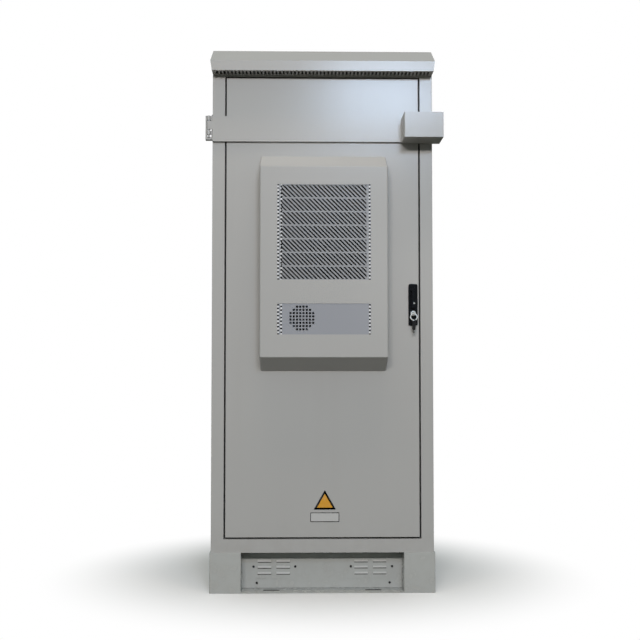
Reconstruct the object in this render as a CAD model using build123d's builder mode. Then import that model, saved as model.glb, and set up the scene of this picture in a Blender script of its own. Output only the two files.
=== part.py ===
from build123d import *

import math
import os

# A roadside equipment cabinet on a plinth, in millimetres. The origin is the centre of the
# footprint on the ground, +Z is up and the door faces -Y.

# Overall sizes
WIDTH = 800.0
DEPTH = 800.0
PLINTH_HEIGHT = 143.0
BODY_TOP = 1900.0
CANOPY_TOP = 1969.0

# Sheet thicknesses
THIN_SHEET = 1.5
SHEET = 2.0
PLINTH_SHEET = 3.0

# Front frame and door opening
POST_WIDTH = 45.0
POST_DEPTH = 36.0
LIP_WIDTH = 9.0
OPENING_BOTTOM = 191.0
OPENING_TOP = 1865.0
DOOR_GAP = 6.0
DOOR_DEPTH = 29.0
DOOR_FLANGE = 12.0

# Door hinges, which stay hidden inside the door edge
HINGE_X = -341.0
HINGE_Y = -392.0
HINGE_HEIGHTS = (330.0, 1030.0, 1730.0)
HINGE_PIN_RADIUS = 2.95
HINGE_BORE_RADIUS = 3.0
KNUCKLE_RADIUS = 5.5
LEAF_HALF_HEIGHT = 50.0
STRAP_HALF_HEIGHT = 30.0
HINGE_NOTCH_HALF_HEIGHT = 33.0

# Plinth
PLINTH_OVERHANG = 4.0
PLINTH_POST = 112.0
PLINTH_RECESS = 82.0
PLINTH_WEB_TOP = 112.0
LEDGE_SLOT_LENGTH = 61.0
LEDGE_SLOT_WIDTH = 16.0
LEDGE_SLOT_X = 184.0
LEDGE_SLOT_Y = 364.0
PLINTH_BOLT_X = 348.0
PLINTH_BOLT_Y = 340.0
VENT_PLATE_X = 176.0
VENT_PLATE_Z = 73.5
VENT_PLATE_SIZE = (168.0, 74.0)
LOUVRE_Z = 80.0
LOUVRE_LENGTH = 50.0
LOUVRE_PITCH_X = 68.0
LOUVRE_PITCH_Z = 21.7
LOUVRE_RISE = 6.0

# Canopy
CANOPY_REACH = 64.0
CANOPY_LIP_Z = 1871.0
CANOPY_CREASE_Z = 1907.0
CANOPY_RIDGE_Y = 369.0
CANOPY_LIP_HALF = 399.0
CANOPY_CREASE_HALF = 404.0
CANOPY_RIDGE_HALF = 401.0
CANOPY_DRIP = 6.0
VENT_SLOT_PITCH = 13.4
VENT_SLOT_COUNT = 58
VENT_SLOT_SIZE = (7.0, 40.0)

# Equipment rails
RACK_HALF_CLEAR = 225.0
RAIL_FRONT_Y = 270.0
RAIL_BOTTOM = 210.0
RAIL_TOP = 1815.0
SUPPORT_TUBE = 30.0

# Air conditioner cover and its grilles
AC_LEFT = -224.0
AC_RIGHT = 230.0
AC_FACE_Y = -505.0
AC_BACK_TOP = 1572.0
AC_FACE_TOP = 1517.0
AC_FACE_BOTTOM = 841.0
AC_BACK_BOTTOM = 792.0
AC_CORNER_RADIUS = 6.0
AC_BEND_RADIUS = 4.0
GRILLE_LEFT = -162.0
GRILLE_RIGHT = 169.0
GRILLE_RIM = 10.0
CONDENSER_BOTTOM = 1114.0
CONDENSER_TOP = 1452.5
BAND_COUNT = 7
BAND_GAP = 5.0
SLANT_PITCH = 15.4
SLANT_WIDTH = 7.6
SLANT_FIELD_LEFT = -149.0
SLANT_FIELD_RIGHT = 153.0
FAN_GRILLE_BOTTOM = 921.0
FAN_GRILLE_TOP = 1030.0
FAN_X = -75.0
FAN_Z = 979.0
FAN_HOLE_FIELD = 48.0
FAN_HOLE_PITCH = 11.4
FAN_HOLE_SIZE = 7.6

# Cable entry
ENTRY_Y = 225.0
GLAND_PLATE_SIZE = (340.0, 160.0)
GLAND_SPACING = (160.0, 60.0)
GLAND_RADIUS = 20.0

# Air conditioner insides
CUTOUT_X = (-205.0, 211.0)
CUTOUT_Z = (850.0, 1510.0)
PARTITION_Y = -376.0
INNER_COVER_Y = -292.0
BLOWER_X = 3.0
BLOWER_Z = 1390.0

# Security bar and lock box
BAR_AXIS_X = -413.5
BAR_AXIS_Y = -407.0
BAR_KNUCKLE_RADIUS = 7.0
BAR_BOTTOM = 1624.0
BAR_TOP = 1716.0
BAR_FACE_Y = -414.0
BAR_BACK_Y = -402.0
LOCK_BOX_X = (287.0, 426.0)
LOCK_BOX_Z = (1620.0, 1709.0)
LOCK_BOX_FACE_Y = -522.0

# Handle and lock
HANDLE_X = 327.5
HANDLE_WIDTH = 33.0
HANDLE_BOTTOM = 957.0
HANDLE_TOP = 1107.0
HANDLE_FACE_Y = -409.0
SPINDLE_Z = 1088.0
LEVER_AXIS_Y = -416.0
KEY_Z = 1000.0
KEY_HOLE_Y = -431.0
BOW_HOLE_RADIUS = 3.5
KEY_RING_RADII = (10.2, 13.5)
KEY_RING_WIDTH = 2.2
SPARE_HOLE_RADIUS = 3.8

# Rack and pinion of the lock
GEAR_MODULE = 1.4
GEAR_TEETH = 10
PRESSURE_ANGLE = math.radians(25.0)
PINION_ADDENDUM = 1.2
PINION_DEDENDUM = 1.45
RACK_ADDENDUM = 1.1
RACK_DEDENDUM = 1.45
GEAR_BACKLASH = 0.15
ROD_RADIUS = 4.0
ROD_Y = -359.0
UPPER_ROD_TIP = 1854.0
LOWER_ROD_TIP = 202.0
GUIDE_HEIGHTS = (260.0, 560.0, 860.0, 1220.0, 1520.0, 1800.0)

HALF_WIDTH = WIDTH / 2
HALF_DEPTH = DEPTH / 2
OPENING_HALF = HALF_WIDTH - POST_WIDTH
POST_BACK_Y = -HALF_DEPTH + POST_DEPTH
DOOR_HALF = OPENING_HALF - DOOR_GAP
DOOR_BOTTOM = OPENING_BOTTOM + DOOR_GAP
DOOR_TOP = OPENING_TOP - DOOR_GAP
DOOR_FACE_Y = -HALF_DEPTH
DOOR_SKIN_Y = DOOR_FACE_Y + SHEET
DOOR_BACK_Y = DOOR_FACE_Y + DOOR_DEPTH
PITCH_RADIUS = GEAR_MODULE * GEAR_TEETH / 2
GEAR_PITCH = math.pi * GEAR_MODULE
BASE_RADIUS = PITCH_RADIUS * math.cos(PRESSURE_ANGLE)


def save(piece, name):
    """Labels a finished piece and writes it to its own file."""
    piece.part.label = name
    export_step(piece.part, f"parts/{name}.step")


def slab(x, y, z, mode=Mode.ADD):
    """Adds or cuts a box that spans the given low and high values on each axis."""
    centre = ((x[0] + x[1]) / 2, (y[0] + y[1]) / 2, (z[0] + z[1]) / 2)
    with Locations(centre):
        Box(x[1] - x[0], y[1] - y[0], z[1] - z[0], mode=mode)


def fold(points, thickness, plane, length, side=Side.LEFT, kind=Kind.INTERSECTION):
    """Adds a folded sheet: one face line of its section, thickened to one side and drawn out."""
    with BuildSketch(plane) as section:
        with BuildLine():
            Polyline(*points)
            offset(amount=thickness, side=side, kind=kind)
        make_face()
    extrude(section.sketch, amount=length)


def drill(x, z, radius, y_from, y_to):
    """Cuts a round hole along Y between two depths."""
    with BuildSketch(Plane.XZ.offset(-y_to)) as disc:
        with Locations((x, z)):
            Circle(radius)
    extrude(disc.sketch, amount=y_to - y_from, mode=Mode.SUBTRACT)


def rod_along_y(x, z, radius, y_from, y_to):
    """Adds a round bar along Y between two depths."""
    with BuildSketch(Plane.XZ.offset(-y_to)) as disc:
        with Locations((x, z)):
            Circle(radius)
    extrude(disc.sketch, amount=y_to - y_from)


def rod_along_z(x, y, radius, z_from, z_to, mode=Mode.ADD):
    """Adds or cuts a round bar along Z between two heights."""
    with BuildSketch(Plane.XY.offset(z_from)) as disc:
        with Locations((x, y)):
            Circle(radius)
    extrude(disc.sketch, amount=z_to - z_from, mode=mode)


def make_plinth_side(name, sign):
    """A welded plinth side: a square post at each end and a recessed web between them."""
    outer = HALF_WIDTH + PLINTH_OVERHANG
    centre = outer - PLINTH_POST / 2
    web_length = 2 * (centre - PLINTH_POST / 2)
    web_x = outer - 13.0
    with BuildPart() as side:
        with BuildSketch(Plane.XY):
            with Locations((sign * centre, -centre), (sign * centre, centre)):
                RectangleRounded(PLINTH_POST, PLINTH_POST, 3.0)
        extrude(amount=PLINTH_HEIGHT)
        with BuildSketch(Plane.XY):
            with Locations((sign * centre, -centre), (sign * centre, centre)):
                Rectangle(PLINTH_POST - 2 * PLINTH_SHEET, PLINTH_POST - 2 * PLINTH_SHEET)
        extrude(amount=PLINTH_HEIGHT - PLINTH_SHEET, mode=Mode.SUBTRACT)
        section = [
            (sign * (web_x - 30), 0),
            (sign * web_x, 0),
            (sign * web_x, PLINTH_HEIGHT),
            (sign * (web_x - 30), PLINTH_HEIGHT),
        ]
        inner_side = Side.LEFT if sign > 0 else Side.RIGHT
        fold(section, PLINTH_SHEET, Plane.XZ.offset(-web_length / 2), web_length, inner_side)
        for y in (-PLINTH_BOLT_Y, PLINTH_BOLT_Y):
            rod_along_z(sign * PLINTH_BOLT_X, y, 6.5, PLINTH_HEIGHT - 20, PLINTH_HEIGHT + 1, Mode.SUBTRACT)
    save(side, name)


def make_plinth_panel(name, facing, vented):
    """A plinth panel between the posts, with a ledge that holds the ground anchors."""
    front = HALF_DEPTH + PLINTH_OVERHANG
    back = front - PLINTH_RECESS
    half = HALF_WIDTH + PLINTH_OVERHANG - PLINTH_POST
    section = [
        (facing * front, 0),
        (facing * back, 0),
        (facing * back, PLINTH_WEB_TOP - PLINTH_SHEET),
        (facing * (back - 34), PLINTH_WEB_TOP - PLINTH_SHEET),
    ]
    side = Side.LEFT if facing < 0 else Side.RIGHT
    with BuildPart() as panel:
        fold(section, PLINTH_SHEET, Plane.YZ.offset(-half), 2 * half, side)
        with BuildSketch(Plane.XY):
            for x in (-LEDGE_SLOT_X, LEDGE_SLOT_X):
                with Locations((x, facing * LEDGE_SLOT_Y)):
                    SlotOverall(LEDGE_SLOT_LENGTH, LEDGE_SLOT_WIDTH)
        extrude(amount=PLINTH_SHEET, mode=Mode.SUBTRACT)
        if vented:
            for x in (-VENT_PLATE_X, VENT_PLATE_X):
                window = (x - 65, x + 65)
                slab(window, (-back - 10, -back + 10), (LOUVRE_Z - 27, LOUVRE_Z + 27),
                     Mode.SUBTRACT)
    save(panel, name)


def make_vent_plate(name, centre_x):
    """A thin plate with pressed louvres, each a hood that is open underneath."""
    face = -(HALF_DEPTH + PLINTH_OVERHANG - PLINTH_RECESS) - PLINTH_SHEET
    width, height = VENT_PLATE_SIZE
    front = face - THIN_SHEET
    columns = (centre_x - LOUVRE_PITCH_X / 2, centre_x + LOUVRE_PITCH_X / 2)
    rows = [LOUVRE_Z + step * LOUVRE_PITCH_Z for step in (-1, 0, 1)]
    half = LOUVRE_LENGTH / 2
    with BuildPart() as plate:
        slab((centre_x - width / 2, centre_x + width / 2), (front, face),
             (VENT_PLATE_Z - height / 2, VENT_PLATE_Z + height / 2))
        for x in columns:
            for z in rows:
                hood = [(front, z + 5.0), (front - LOUVRE_RISE, z - 3.5), (front, z - 3.5)]
                with BuildSketch(Plane.YZ.offset(x - half)):
                    Polygon(*hood, align=None)
                extrude(amount=LOUVRE_LENGTH)
        for x in columns:
            for z in rows:
                hollow = [(face, z + 3.0), (front, z + 3.0), (front - LOUVRE_RISE + 1.6, z - 3.5),
                          (face, z - 3.5)]
                with BuildSketch(Plane.YZ.offset(x - half + 1.5)):
                    Polygon(*hollow, align=None)
                extrude(amount=LOUVRE_LENGTH - 3.0, mode=Mode.SUBTRACT)
    save(plate, name)


def make_plinth_bolts():
    """Four hexagon bolts that hold the body down on the plinth."""
    with BuildPart() as bolts:
        for x in (-PLINTH_BOLT_X, PLINTH_BOLT_X):
            for y in (-PLINTH_BOLT_Y, PLINTH_BOLT_Y):
                rod_along_z(x, y, 6.0, PLINTH_HEIGHT - 22, PLINTH_HEIGHT + 4)
                with BuildSketch(Plane.XY.offset(PLINTH_HEIGHT + PLINTH_SHEET)):
                    with Locations((x, y)):
                        RegularPolygon(10.4, 6)
                extrude(amount=7.5)
    save(bolts, "plinth_bolts")


def make_front_post(name, sign):
    """A hollow front post with the lip that the door seal sits on."""
    outer = sign * HALF_WIDTH
    inner = sign * OPENING_HALF
    low, high = sorted((outer, inner))
    with BuildPart() as post:
        with BuildSketch(Plane.XY.offset(PLINTH_HEIGHT)) as section:
            with Locations(((low + high) / 2, -HALF_DEPTH + POST_DEPTH / 2)):
                Rectangle(POST_WIDTH, POST_DEPTH)
            fillet(section.vertices().group_by(Axis.X)[0 if sign < 0 else -1], 2.0)
            with Locations(((low + high) / 2, -HALF_DEPTH + POST_DEPTH / 2)):
                Rectangle(POST_WIDTH - 2 * SHEET, POST_DEPTH - 2 * SHEET, mode=Mode.SUBTRACT)
        extrude(amount=BODY_TOP - PLINTH_HEIGHT)
        lip = sorted((inner - sign * LIP_WIDTH, inner + sign * SHEET))
        slab(lip, (POST_BACK_Y - SHEET, POST_BACK_Y), (OPENING_BOTTOM, OPENING_TOP))
    save(post, name)


def make_cross_member(name, bottom, top, lip_bottom, lip_top):
    """A hollow member between the front posts, with its lip."""
    with BuildPart() as member:
        with BuildSketch(Plane.YZ.offset(-OPENING_HALF)):
            with Locations((-HALF_DEPTH + POST_DEPTH / 2, (bottom + top) / 2)):
                Rectangle(POST_DEPTH, top - bottom)
                Rectangle(POST_DEPTH - 2 * SHEET, top - bottom - 2 * SHEET, mode=Mode.SUBTRACT)
        extrude(amount=2 * OPENING_HALF)
        clear = OPENING_HALF - LIP_WIDTH
        slab((-clear, clear), (POST_BACK_Y - SHEET, POST_BACK_Y), (lip_bottom, lip_top))
    save(member, name)


def make_side_panel(name, sign):
    """A side wall whose rear edge is folded round the corner."""
    section = [
        (sign * HALF_WIDTH, POST_BACK_Y),
        (sign * HALF_WIDTH, HALF_DEPTH),
        (sign * (HALF_WIDTH - 40), HALF_DEPTH),
    ]
    side = Side.LEFT if sign > 0 else Side.RIGHT
    with BuildPart() as panel:
        fold(section, THIN_SHEET, Plane.XY.offset(PLINTH_HEIGHT), BODY_TOP - PLINTH_HEIGHT, side)
    save(panel, name)


def make_rear_panel():
    """The bolted rear cover, with its edges turned forward past the opening."""
    with BuildPart() as panel:
        slab((-375, 375), (HALF_DEPTH, HALF_DEPTH + SHEET), (165, 1862))
        fold([(-340, HALF_DEPTH), (-340, HALF_DEPTH - 16)], SHEET, Plane.XY.offset(200), 1640, Side.LEFT)
        fold([(340, HALF_DEPTH), (340, HALF_DEPTH - 16)], SHEET, Plane.XY.offset(200), 1640, Side.RIGHT)
    save(panel, "rear_panel")


def make_floor_plate():
    """The floor, cut out for the cable entry and turned up at the rear."""
    inner = HALF_WIDTH - THIN_SHEET
    rear = HALF_DEPTH - THIN_SHEET
    with BuildPart() as floor:
        slab((-inner, inner), (POST_BACK_Y, rear), (PLINTH_HEIGHT, PLINTH_HEIGHT + PLINTH_SHEET))
        slab((-360, 360), (rear, HALF_DEPTH), (PLINTH_HEIGHT, 185))
        slab((-150, 150), (ENTRY_Y - 60, ENTRY_Y + 60), (PLINTH_HEIGHT - 1, 160), Mode.SUBTRACT)
        for x in (-PLINTH_BOLT_X, PLINTH_BOLT_X):
            for y in (-PLINTH_BOLT_Y, PLINTH_BOLT_Y):
                rod_along_z(x, y, 6.5, PLINTH_HEIGHT - 1, 160, Mode.SUBTRACT)
    save(floor, "floor_plate")


def make_gland_plate():
    """The loose plate over the cable entry, with its round cable holes."""
    bottom = PLINTH_HEIGHT + PLINTH_SHEET
    with BuildPart() as plate:
        with BuildSketch(Plane.XY.offset(bottom)):
            with Locations((0, ENTRY_Y)):
                Rectangle(*GLAND_PLATE_SIZE)
                with GridLocations(*GLAND_SPACING, 2, 2):
                    Circle(GLAND_RADIUS, mode=Mode.SUBTRACT)
        extrude(amount=SHEET)
    save(plate, "gland_plate")


def make_top_plate():
    """The flat top of the body, turned down at the rear."""
    with BuildPart() as plate:
        slab((-HALF_WIDTH, HALF_WIDTH), (-HALF_DEPTH, HALF_DEPTH), (BODY_TOP, BODY_TOP + SHEET))
        slab((-360, 360), (HALF_DEPTH - THIN_SHEET, HALF_DEPTH), (1842, BODY_TOP))
    save(plate, "top_plate")


def crossed(side_view, front_view):
    """The solid with one outline seen from the side and the other seen from the front."""
    with BuildPart() as solid:
        with BuildSketch(Plane.YZ.offset(-WIDTH)):
            Polygon(*side_view, align=None)
        extrude(amount=2 * WIDTH)
        with BuildSketch(Plane.XZ.offset(DEPTH)):
            Polygon(*front_view, align=None)
        extrude(amount=-2 * DEPTH, mode=Mode.INTERSECT)
    return solid.part


def make_canopy_shell():
    """The rain canopy: folded sheet with creased ends, open underneath, lapping the body's top."""
    reach = HALF_DEPTH + CANOPY_REACH
    half_profile = [
        (HALF_DEPTH + SHEET, BODY_TOP + SHEET - CANOPY_DRIP),
        (HALF_DEPTH + SHEET, CANOPY_LIP_Z),
        (reach, CANOPY_LIP_Z),
        (reach, CANOPY_CREASE_Z),
        (CANOPY_RIDGE_Y, CANOPY_TOP),
    ]
    outer = half_profile + [(-y, z) for y, z in reversed(half_profile)]
    slope = math.atan2(CANOPY_TOP - CANOPY_CREASE_Z, reach - CANOPY_RIDGE_Y)
    crease_drop = SHEET * math.tan(math.pi / 4 - slope / 2)
    ridge_shift = SHEET * math.tan(slope / 2)
    half_hollow = [
        (reach - SHEET, CANOPY_LIP_Z),
        (reach - SHEET, CANOPY_CREASE_Z - crease_drop),
        (CANOPY_RIDGE_Y - ridge_shift, CANOPY_TOP - SHEET),
    ]
    hollow = half_hollow + [(-y, z) for y, z in reversed(half_hollow)]
    half_end = [
        (CANOPY_LIP_HALF, CANOPY_LIP_Z),
        (CANOPY_CREASE_HALF, CANOPY_CREASE_Z),
        (CANOPY_RIDGE_HALF, CANOPY_TOP),
    ]
    end = half_end + [(-x, z) for x, z in reversed(half_end)]
    inner_half = [(x - SHEET, z) for x, z in half_end]
    inner_end = inner_half + [(-x, z) for x, z in reversed(inner_half)]
    solid = crossed(outer, end)
    space = crossed(hollow, inner_end)
    with BuildPart() as shell:
        add(solid)
        add(space, mode=Mode.SUBTRACT)
    save(shell, "canopy_shell")


def make_vent_strip(name, facing):
    """The slotted strip that closes the canopy's underside but lets air out."""
    start = HALF_DEPTH if facing < 0 else HALF_DEPTH + SHEET
    y_range = sorted((facing * start, facing * (HALF_DEPTH + CANOPY_REACH - SHEET)))
    half = CANOPY_LIP_HALF - SHEET
    with BuildPart() as strip:
        slab((-half, half), y_range, (CANOPY_LIP_Z, CANOPY_LIP_Z + SHEET))
        with BuildSketch(Plane.XY.offset(CANOPY_LIP_Z)):
            with Locations((0, sum(y_range) / 2)):
                with GridLocations(VENT_SLOT_PITCH, 1, VENT_SLOT_COUNT, 1):
                    Rectangle(*VENT_SLOT_SIZE)
        extrude(amount=SHEET, mode=Mode.SUBTRACT)
    save(strip, name)


def make_canopy_spacers():
    """Four folded brackets that hold the canopy above the body."""
    bottom = BODY_TOP + SHEET
    top = CANOPY_TOP - SHEET
    with BuildPart() as spacers:
        for x in (-300, 300):
            for y in (-280, 320):
                section = [(x + 30, bottom), (x - 30, bottom), (x - 30, top), (x + 30, top)]
                fold(section, SHEET, Plane.XZ.offset(-y), 40, Side.RIGHT)
    save(spacers, "canopy_spacers")


def make_rack_rail(name, sign, facing):
    """An equipment rail: a front flange, a web and a fixing flange."""
    face = facing * RAIL_FRONT_Y
    foot = face - facing * 30
    section = [
        (sign * RACK_HALF_CLEAR, face),
        (sign * (RACK_HALF_CLEAR + 18), face),
        (sign * (RACK_HALF_CLEAR + 18), foot),
        (sign * (RACK_HALF_CLEAR + 38), foot),
    ]
    side = Side.LEFT if sign * facing < 0 else Side.RIGHT
    with BuildPart() as rail:
        fold(section, SHEET, Plane.XY.offset(RAIL_BOTTOM), RAIL_TOP - RAIL_BOTTOM, side)
    save(rail, name)


def make_rail_supports():
    """Four square tubes from side to side that carry the equipment rails."""
    inner = HALF_WIDTH - THIN_SHEET
    foot = RAIL_FRONT_Y - 30 - SHEET
    with BuildPart() as supports:
        for y in (-foot + SUPPORT_TUBE / 2, foot - SUPPORT_TUBE / 2):
            for z in (RAIL_BOTTOM + SUPPORT_TUBE, RAIL_TOP - SUPPORT_TUBE):
                with BuildSketch(Plane.YZ.offset(-inner)):
                    with Locations((y, z)):
                        Rectangle(SUPPORT_TUBE, SUPPORT_TUBE)
                        Rectangle(SUPPORT_TUBE - 4, SUPPORT_TUBE - 4, mode=Mode.SUBTRACT)
                extrude(amount=2 * inner)
    save(supports, "rail_supports")


def make_door_gasket():
    """The rubber seal round the opening, on the lips of the frame."""
    middle = (OPENING_BOTTOM + OPENING_TOP) / 2
    height = OPENING_TOP - OPENING_BOTTOM
    with BuildPart() as gasket:
        with BuildSketch(Plane.XZ.offset(-(POST_BACK_Y - SHEET))):
            with Locations((0, middle)):
                Rectangle(2 * OPENING_HALF - 1, height - 1)
                Rectangle(2 * OPENING_HALF - 18, height - 18, mode=Mode.SUBTRACT)
        extrude(amount=3.1)
    save(gasket, "door_gasket")


def make_hinge_leaves():
    """The hinge straps on the frame, the leaves on the door and their pins."""
    arm = HINGE_Y - 4.5
    reach = HINGE_X + 28
    back = POST_BACK_Y + 4
    with BuildPart() as straps:
        for height in HINGE_HEIGHTS:
            low = height - STRAP_HALF_HEIGHT
            section = [(HINGE_X, arm), (reach, arm), (reach, back), (HINGE_X - 50, back)]
            fold(section, 4.0, Plane.XY.offset(low), 2 * STRAP_HALF_HEIGHT)
            rod_along_z(HINGE_X, HINGE_Y, KNUCKLE_RADIUS, low, height + STRAP_HALF_HEIGHT)
        for height in HINGE_HEIGHTS:
            rod_along_z(HINGE_X, HINGE_Y, HINGE_BORE_RADIUS, height - 40, height + 40, Mode.SUBTRACT)
    save(straps, "hinge_frame_leaves")

    finger = LEAF_HALF_HEIGHT - STRAP_HALF_HEIGHT - 1
    with BuildPart() as leaves:
        for height in HINGE_HEIGHTS:
            low = height - LEAF_HALF_HEIGHT
            high = height + LEAF_HALF_HEIGHT
            slab((HINGE_X + 35, HINGE_X + 53), (DOOR_SKIN_Y, DOOR_SKIN_Y + 3), (low, high))
            for start in (low, high - finger):
                slab((HINGE_X, HINGE_X + 36), (DOOR_SKIN_Y, DOOR_SKIN_Y + 3), (start, start + finger))
                rod_along_z(HINGE_X, HINGE_Y, KNUCKLE_RADIUS, start, start + finger)
        for height in HINGE_HEIGHTS:
            rod_along_z(HINGE_X, HINGE_Y, HINGE_BORE_RADIUS, height - 60, height + 60, Mode.SUBTRACT)
    save(leaves, "hinge_door_leaves")

    with BuildPart() as pins:
        for height in HINGE_HEIGHTS:
            top = height + LEAF_HALF_HEIGHT
            rod_along_z(HINGE_X, HINGE_Y, HINGE_PIN_RADIUS, height - LEAF_HALF_HEIGHT - 3, top)
            rod_along_z(HINGE_X, HINGE_Y, 5.0, top, top + 3)
    save(pins, "hinge_pins")


def make_bar_bracket():
    """The fixed half of the security bar's hinge, on the side of the cabinet, with its pin."""
    wall = -HALF_WIDTH
    outer = BAR_AXIS_X - 12
    front = DOOR_FACE_Y - 3
    with BuildPart() as bracket:
        slab((wall - 3, wall), (front, DOOR_FACE_Y + 70), (1632, 1724))
        for low, high in ((1650, 1664), (1702, 1716)):
            slab((outer, wall), (front, front + 4), (low, high))
            rod_along_z(BAR_AXIS_X, BAR_AXIS_Y, BAR_KNUCKLE_RADIUS, low, high)
        for low, high in ((1632, 1642), (1716, 1719)):
            slab((outer, wall - 3), (front - 2, front + 21), (low, high))
        slab((outer, outer + 4), (front, front + 21), (1632, 1719))
        rod_along_z(BAR_AXIS_X, BAR_AXIS_Y, 4.0, 1640, 1719)
    save(bracket, "bar_hinge_bracket")


def make_security_bar():
    """The bar across the door: a shallow channel with a hinge knuckle at its left end."""
    left = -HALF_WIDTH + 1
    right = LOCK_BOX_X[0]
    section = [
        (BAR_BACK_Y, BAR_BOTTOM),
        (BAR_FACE_Y, BAR_BOTTOM),
        (BAR_FACE_Y, BAR_TOP),
        (BAR_BACK_Y, BAR_TOP),
    ]
    with BuildPart() as bar:
        fold(section, SHEET, Plane.YZ.offset(left), right - left, Side.RIGHT)
        slab((BAR_AXIS_X, left + 1), (BAR_FACE_Y, BAR_FACE_Y + 3), (1668, 1698))
        rod_along_z(BAR_AXIS_X, BAR_AXIS_Y, BAR_KNUCKLE_RADIUS, 1668, 1698)
        rod_along_z(BAR_AXIS_X, BAR_AXIS_Y, 4.05, 1660, 1706, Mode.SUBTRACT)
    save(bar, "security_bar")


def make_lock_box():
    """The shroud over the padlock, open at its back and right end, with its inner lug."""
    x_low, x_high = LOCK_BOX_X
    z_low, z_high = LOCK_BOX_Z
    with BuildPart() as box:
        slab(LOCK_BOX_X, (LOCK_BOX_FACE_Y, BAR_BACK_Y), LOCK_BOX_Z)
        fillet(box.edges().filter_by(Axis.Z).group_by(Axis.Y)[0].sort_by(Axis.X)[0], 2.5)
        slab((x_low + SHEET, x_high), (LOCK_BOX_FACE_Y + SHEET, BAR_BACK_Y),
             (z_low + SHEET, z_high - SHEET), Mode.SUBTRACT)
        slab((369, 373), (-450, -418), (1650, z_high - SHEET))
        with BuildSketch(Plane.YZ.offset(369)):
            with Locations((-435, 1666)):
                Circle(6)
        extrude(amount=4, mode=Mode.SUBTRACT)
    save(box, "lock_box")


def make_padlock_staple():
    """The ear on the right post that the padlock goes through."""
    with BuildPart() as staple:
        slab((358, 398), (DOOR_FACE_Y - 3, DOOR_FACE_Y), (1636, 1696))
        slab((376, 380), (-450, DOOR_FACE_Y - 3), (1650, 1682))
        with BuildSketch(Plane.YZ.offset(376)):
            with Locations((-435, 1666)):
                Circle(6)
        extrude(amount=4, mode=Mode.SUBTRACT)
    save(staple, "padlock_staple")


def make_door_panel():
    """The door: a pan with turned edges, cut out for the air conditioner and the lock."""
    inner = DOOR_HALF - SHEET
    opening = DOOR_HALF - DOOR_FLANGE
    with BuildPart() as door:
        slab((-DOOR_HALF, DOOR_HALF), (DOOR_FACE_Y, DOOR_BACK_Y), (DOOR_BOTTOM, DOOR_TOP))
        front_edges = door.edges().group_by(Axis.Y)[0]
        fillet(front_edges, 1.6)
        slab((-inner, inner), (DOOR_SKIN_Y, DOOR_BACK_Y - SHEET),
             (DOOR_BOTTOM + SHEET, DOOR_TOP - SHEET), Mode.SUBTRACT)
        slab((-opening, opening), (DOOR_BACK_Y - SHEET, DOOR_BACK_Y),
             (DOOR_BOTTOM + DOOR_FLANGE, DOOR_TOP - DOOR_FLANGE), Mode.SUBTRACT)
        slab(CUTOUT_X, (DOOR_FACE_Y - 1, DOOR_SKIN_Y + 1), CUTOUT_Z, Mode.SUBTRACT)
        for height in HINGE_HEIGHTS:
            slab((-inner, -opening + 0.1), (DOOR_BACK_Y - SHEET - 0.1, DOOR_BACK_Y + 0.1),
                 (height - HINGE_NOTCH_HALF_HEIGHT, height + HINGE_NOTCH_HALF_HEIGHT), Mode.SUBTRACT)
        for z in (SPINDLE_Z, KEY_Z):
            drill(HANDLE_X, z, 7.3, DOOR_FACE_Y - 1, DOOR_SKIN_Y + 1)
    save(door, "door_panel")


def make_stiffeners():
    """The two upright channels inside the door; the lock-side one carries the lock."""
    low = DOOR_BOTTOM + 18
    length = DOOR_TOP - DOOR_BOTTOM - 36
    skin = DOOR_SKIN_Y
    with BuildPart() as hinge_side:
        crest = skin + 20
        section = [(-284, skin), (-272, skin), (-272, crest), (-237, crest), (-237, skin), (-225, skin)]
        fold(section, THIN_SHEET, Plane.XY.offset(low), length)
    save(hinge_side, "hinge_side_stiffener")

    crown = DOOR_BACK_Y - SHEET
    with BuildPart() as lock_side:
        section = [(290, skin), (300, skin), (300, crown), (335, crown), (335, skin), (345, skin)]
        fold(section, SHEET, Plane.XY.offset(low), length)
        drill(HANDLE_X, SPINDLE_Z, 6.0, crown - 1, DOOR_BACK_Y + 1)
    save(lock_side, "lock_side_stiffener")


def rounded_hood(profile, left, right, corner_radius, bend_radius):
    """A solid hood drawn along X, with its two face bends and its edges on both sides rounded."""
    with BuildPart() as hood:
        with BuildSketch(Plane.YZ.offset(left)):
            Polygon(*profile, align=None)
        extrude(amount=right - left)
        fillet(hood.faces().sort_by(Axis.Y)[0].edges().filter_by(Axis.X), bend_radius)
        side_edges = hood.faces().filter_by(Axis.X).edges()
        fillet(side_edges.filter_by(lambda edge: edge.center().Y < DOOR_FACE_Y - 1), corner_radius)
    return hood.part


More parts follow.
